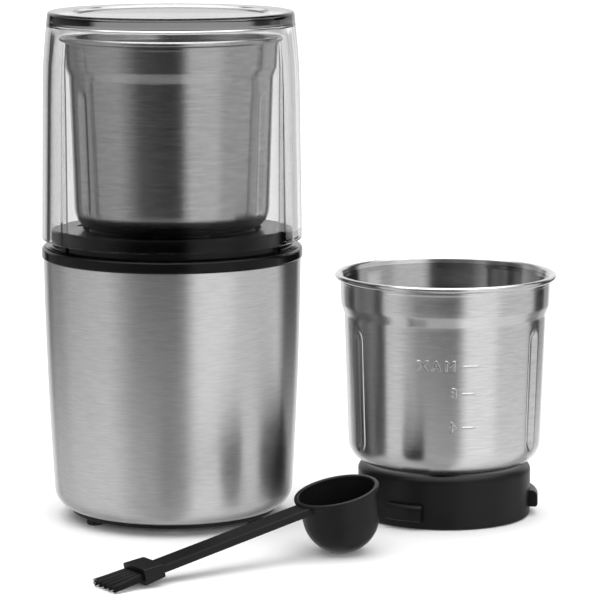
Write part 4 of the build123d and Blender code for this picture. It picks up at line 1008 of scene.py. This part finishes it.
strands = bpy.data.node_groups.new("brush_strands", "GeometryNodeTree")
strands.interface.new_socket("Geometry", in_out="OUTPUT", socket_type="NodeSocketGeometry")
BRUSH_INPUTS = (
    ("Columns", "NodeSocketInt", 62),
    ("Rows", "NodeSocketInt", 9),
    ("Width", "NodeSocketFloat", (HEAD_WIDTH - 2 * SOCKET_WALL - SIDE_PLAY) * MM),
    ("Height", "NodeSocketFloat", (BRUSH_HEIGHT - RISE_PLAY) * MM),
    ("Start", "NodeSocketFloat", (HEAD_REACH - SOCKET_DEPTH + ROOT_PLAY) * MM),
    ("Length", "NodeSocketFloat", (SOCKET_DEPTH - ROOT_PLAY + BRISTLE_LENGTH) * MM),
    ("Middle", "NodeSocketFloat", -HEAD_DROP * MM),
    ("Fan", "NodeSocketFloat", FAN_SHARE),
    ("Thinning", "NodeSocketFloat", THIN_SHARE),
    ("Tufts", "NodeSocketFloat", 5.0),
    ("Tuft share", "NodeSocketFloat", 0.55),
    ("Stagger", "NodeSocketFloat", BRISTLE_STAGGER * MM),
    ("Stray", "NodeSocketFloat", 0.35 * MM),
    ("Radius", "NodeSocketFloat", BRISTLE_R * MM),
    ("Seed", "NodeSocketInt", 7),
    ("Material", "NodeSocketMaterial", bristle_nylon),
)
for name, kind, value in BRUSH_INPUTS:
    strands.interface.new_socket(name, in_out="INPUT", socket_type=kind)
given = strands.nodes.new("NodeGroupInput").outputs


def join(kind, **values):
    """Adds a node to the brush's tree and gives its first output."""
    return add(strands, kind, **values).outputs[0]


def calc(operation, *operands):
    return math_node(strands, operation, *operands)


def chance(low, high, offset):
    """A number for each strand, the same at all its points."""
    node = add(strands, "FunctionNodeRandomValue", data_type="FLOAT")
    node.inputs[RANDOM_LOW].default_value = low
    node.inputs[RANDOM_HIGH].default_value = high
    strand = add(strands, "GeometryNodeCurveOfPoint").outputs["Curve Index"]
    strands.links.new(strand, node.inputs["ID"])
    strands.links.new(calc("ADD", given["Seed"], offset), node.inputs["Seed"])
    return node.outputs[RANDOM_RESULT]


print(len(BRUSH_INPUTS), "inputs of the brush")

# %% [markdown]
# A strand is straight at its root. Towards its tip it moves to its tuft, outwards with the fan, and aside by
# a chance that grows with the square of the way, as thin nylon bends.

# %% Roots and places of the strands
STRAND_POINTS = 8
SIDE_STRAY, RISE_STRAY, END_STRAY = (-1, 1), (-0.2, 0.6), (-1.6, 1)  # lowest and highest chance

upright = (QUARTER_TURN, 0, QUARTER_TURN)
grid_sizes = {"Size X": 1.0, "Size Y": 1.0, "Vertices X": given["Columns"], "Vertices Y": given["Rows"]}
roots = join("GeometryNodeTransform", Geometry=join("GeometryNodeMeshGrid", **grid_sizes), Rotation=upright)
line = join("GeometryNodeCurvePrimitiveLine", End=(1, 0, 0))
line = join("GeometryNodeResampleCurve", Curve=line, Count=STRAND_POINTS)
placed = join("GeometryNodeInstanceOnPoints", Points=roots, Instance=line)
placed = join("GeometryNodeRealizeInstances", Geometry=placed)
along, across, up = add(strands, "ShaderNodeSeparateXYZ", Vector=join("GeometryNodeInputPosition")).outputs

counted = calc("MULTIPLY", across, given["Tufts"])
beside = calc("DIVIDE", calc("SUBTRACT", counted, calc("ROUND", counted)), given["Tufts"])
tuft = calc("SUBTRACT", across, calc("MULTIPLY", beside, given["Tuft share"]))
bent = calc("POWER", along, 2.0)
fanned = calc("SUBTRACT", calc("MULTIPLY", tuft, given["Fan"]), across)
side = calc("MULTIPLY", calc("ADD", across, calc("MULTIPLY", fanned, along)), given["Width"])
strayed = calc("MULTIPLY", chance(*SIDE_STRAY, offset=1), given["Stray"])
side = calc("ADD", side, calc("MULTIPLY", strayed, bent))
thinned = calc("MULTIPLY", calc("MULTIPLY", up, calc("SUBTRACT", given["Thinning"], 1.0)), along)
rise = calc("MULTIPLY", calc("ADD", up, thinned), given["Height"])
rise = calc("ADD", rise, given["Middle"])
strayed = calc("MULTIPLY", chance(*RISE_STRAY, offset=2), given["Stray"])
rise = calc("ADD", rise, calc("MULTIPLY", strayed, bent))
reach = calc("ADD", given["Length"], calc("MULTIPLY", chance(*END_STRAY, offset=3), given["Stagger"]))
forth = calc("ADD", given["Start"], calc("MULTIPLY", along, reach))
spot = join("ShaderNodeCombineXYZ", X=forth, Y=side, Z=rise)
shaped = join("GeometryNodeSetPosition", Geometry=placed, Position=spot)
print("brush's tree of", len(strands.nodes), "nodes so far")

# %% [markdown]
# Last, a small circle is drawn along each line, which makes the strand solid, and the tree sets its finish.
# The modifier's result is copied to a plain mesh, so the brush can be moved like any other piece.

# %% Brush strands
STRAND_SIDES = 5

section = join("GeometryNodeCurvePrimitiveCircle", Radius=given["Radius"], Resolution=STRAND_SIDES)
tubes = {"Curve": shaped, "Profile Curve": section, "Fill Caps": True}
solid = join("GeometryNodeRealizeInstances", Geometry=join("GeometryNodeCurveToMesh", **tubes))
solid = join("GeometryNodeSetMaterial", Geometry=solid, Material=given["Material"])
strands.links.new(solid, strands.nodes.new("NodeGroupOutput").inputs[0])

brush = bpy.data.objects.new("brush_strands", bpy.data.meshes.new("brush_seed"))
scene.collection.objects.link(brush)
maker = brush.modifiers.new("strands", "NODES")
maker.node_group = strands
sockets = {item.name: item.identifier for item in strands.interface.items_tree if item.in_out == "INPUT"}
for name, kind, value in BRUSH_INPUTS:
    maker[sockets[name]] = value
brush_mesh = plain_mesh(brush)
brush.modifiers.remove(maker)
brush_mesh.transform(scoop_matrix)
brush_mesh.shade_smooth()
brush.data = brush_mesh
settle(brush, bristle_nylon, "scoop", "bristle_nylon", "brush_bristles")

# %% [markdown]
# The spring under the plunger keeps its imported shape. In the grinder its foot stands on the base and its
# head follows the plunger, so it grows shorter when the lid is pressed; here its mesh is only copied into a
# piece of its own, in place, and takes the place of its node.

# %% Spring
spring_mesh = nodes["plunger_spring"].data.copy()
spring_mesh.transform(nodes["plunger_spring"].matrix_world)
coil = bpy.data.objects.new("coil_spring", spring_mesh)
scene.collection.objects.link(coil)
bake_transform(coil)
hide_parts("plunger_spring")
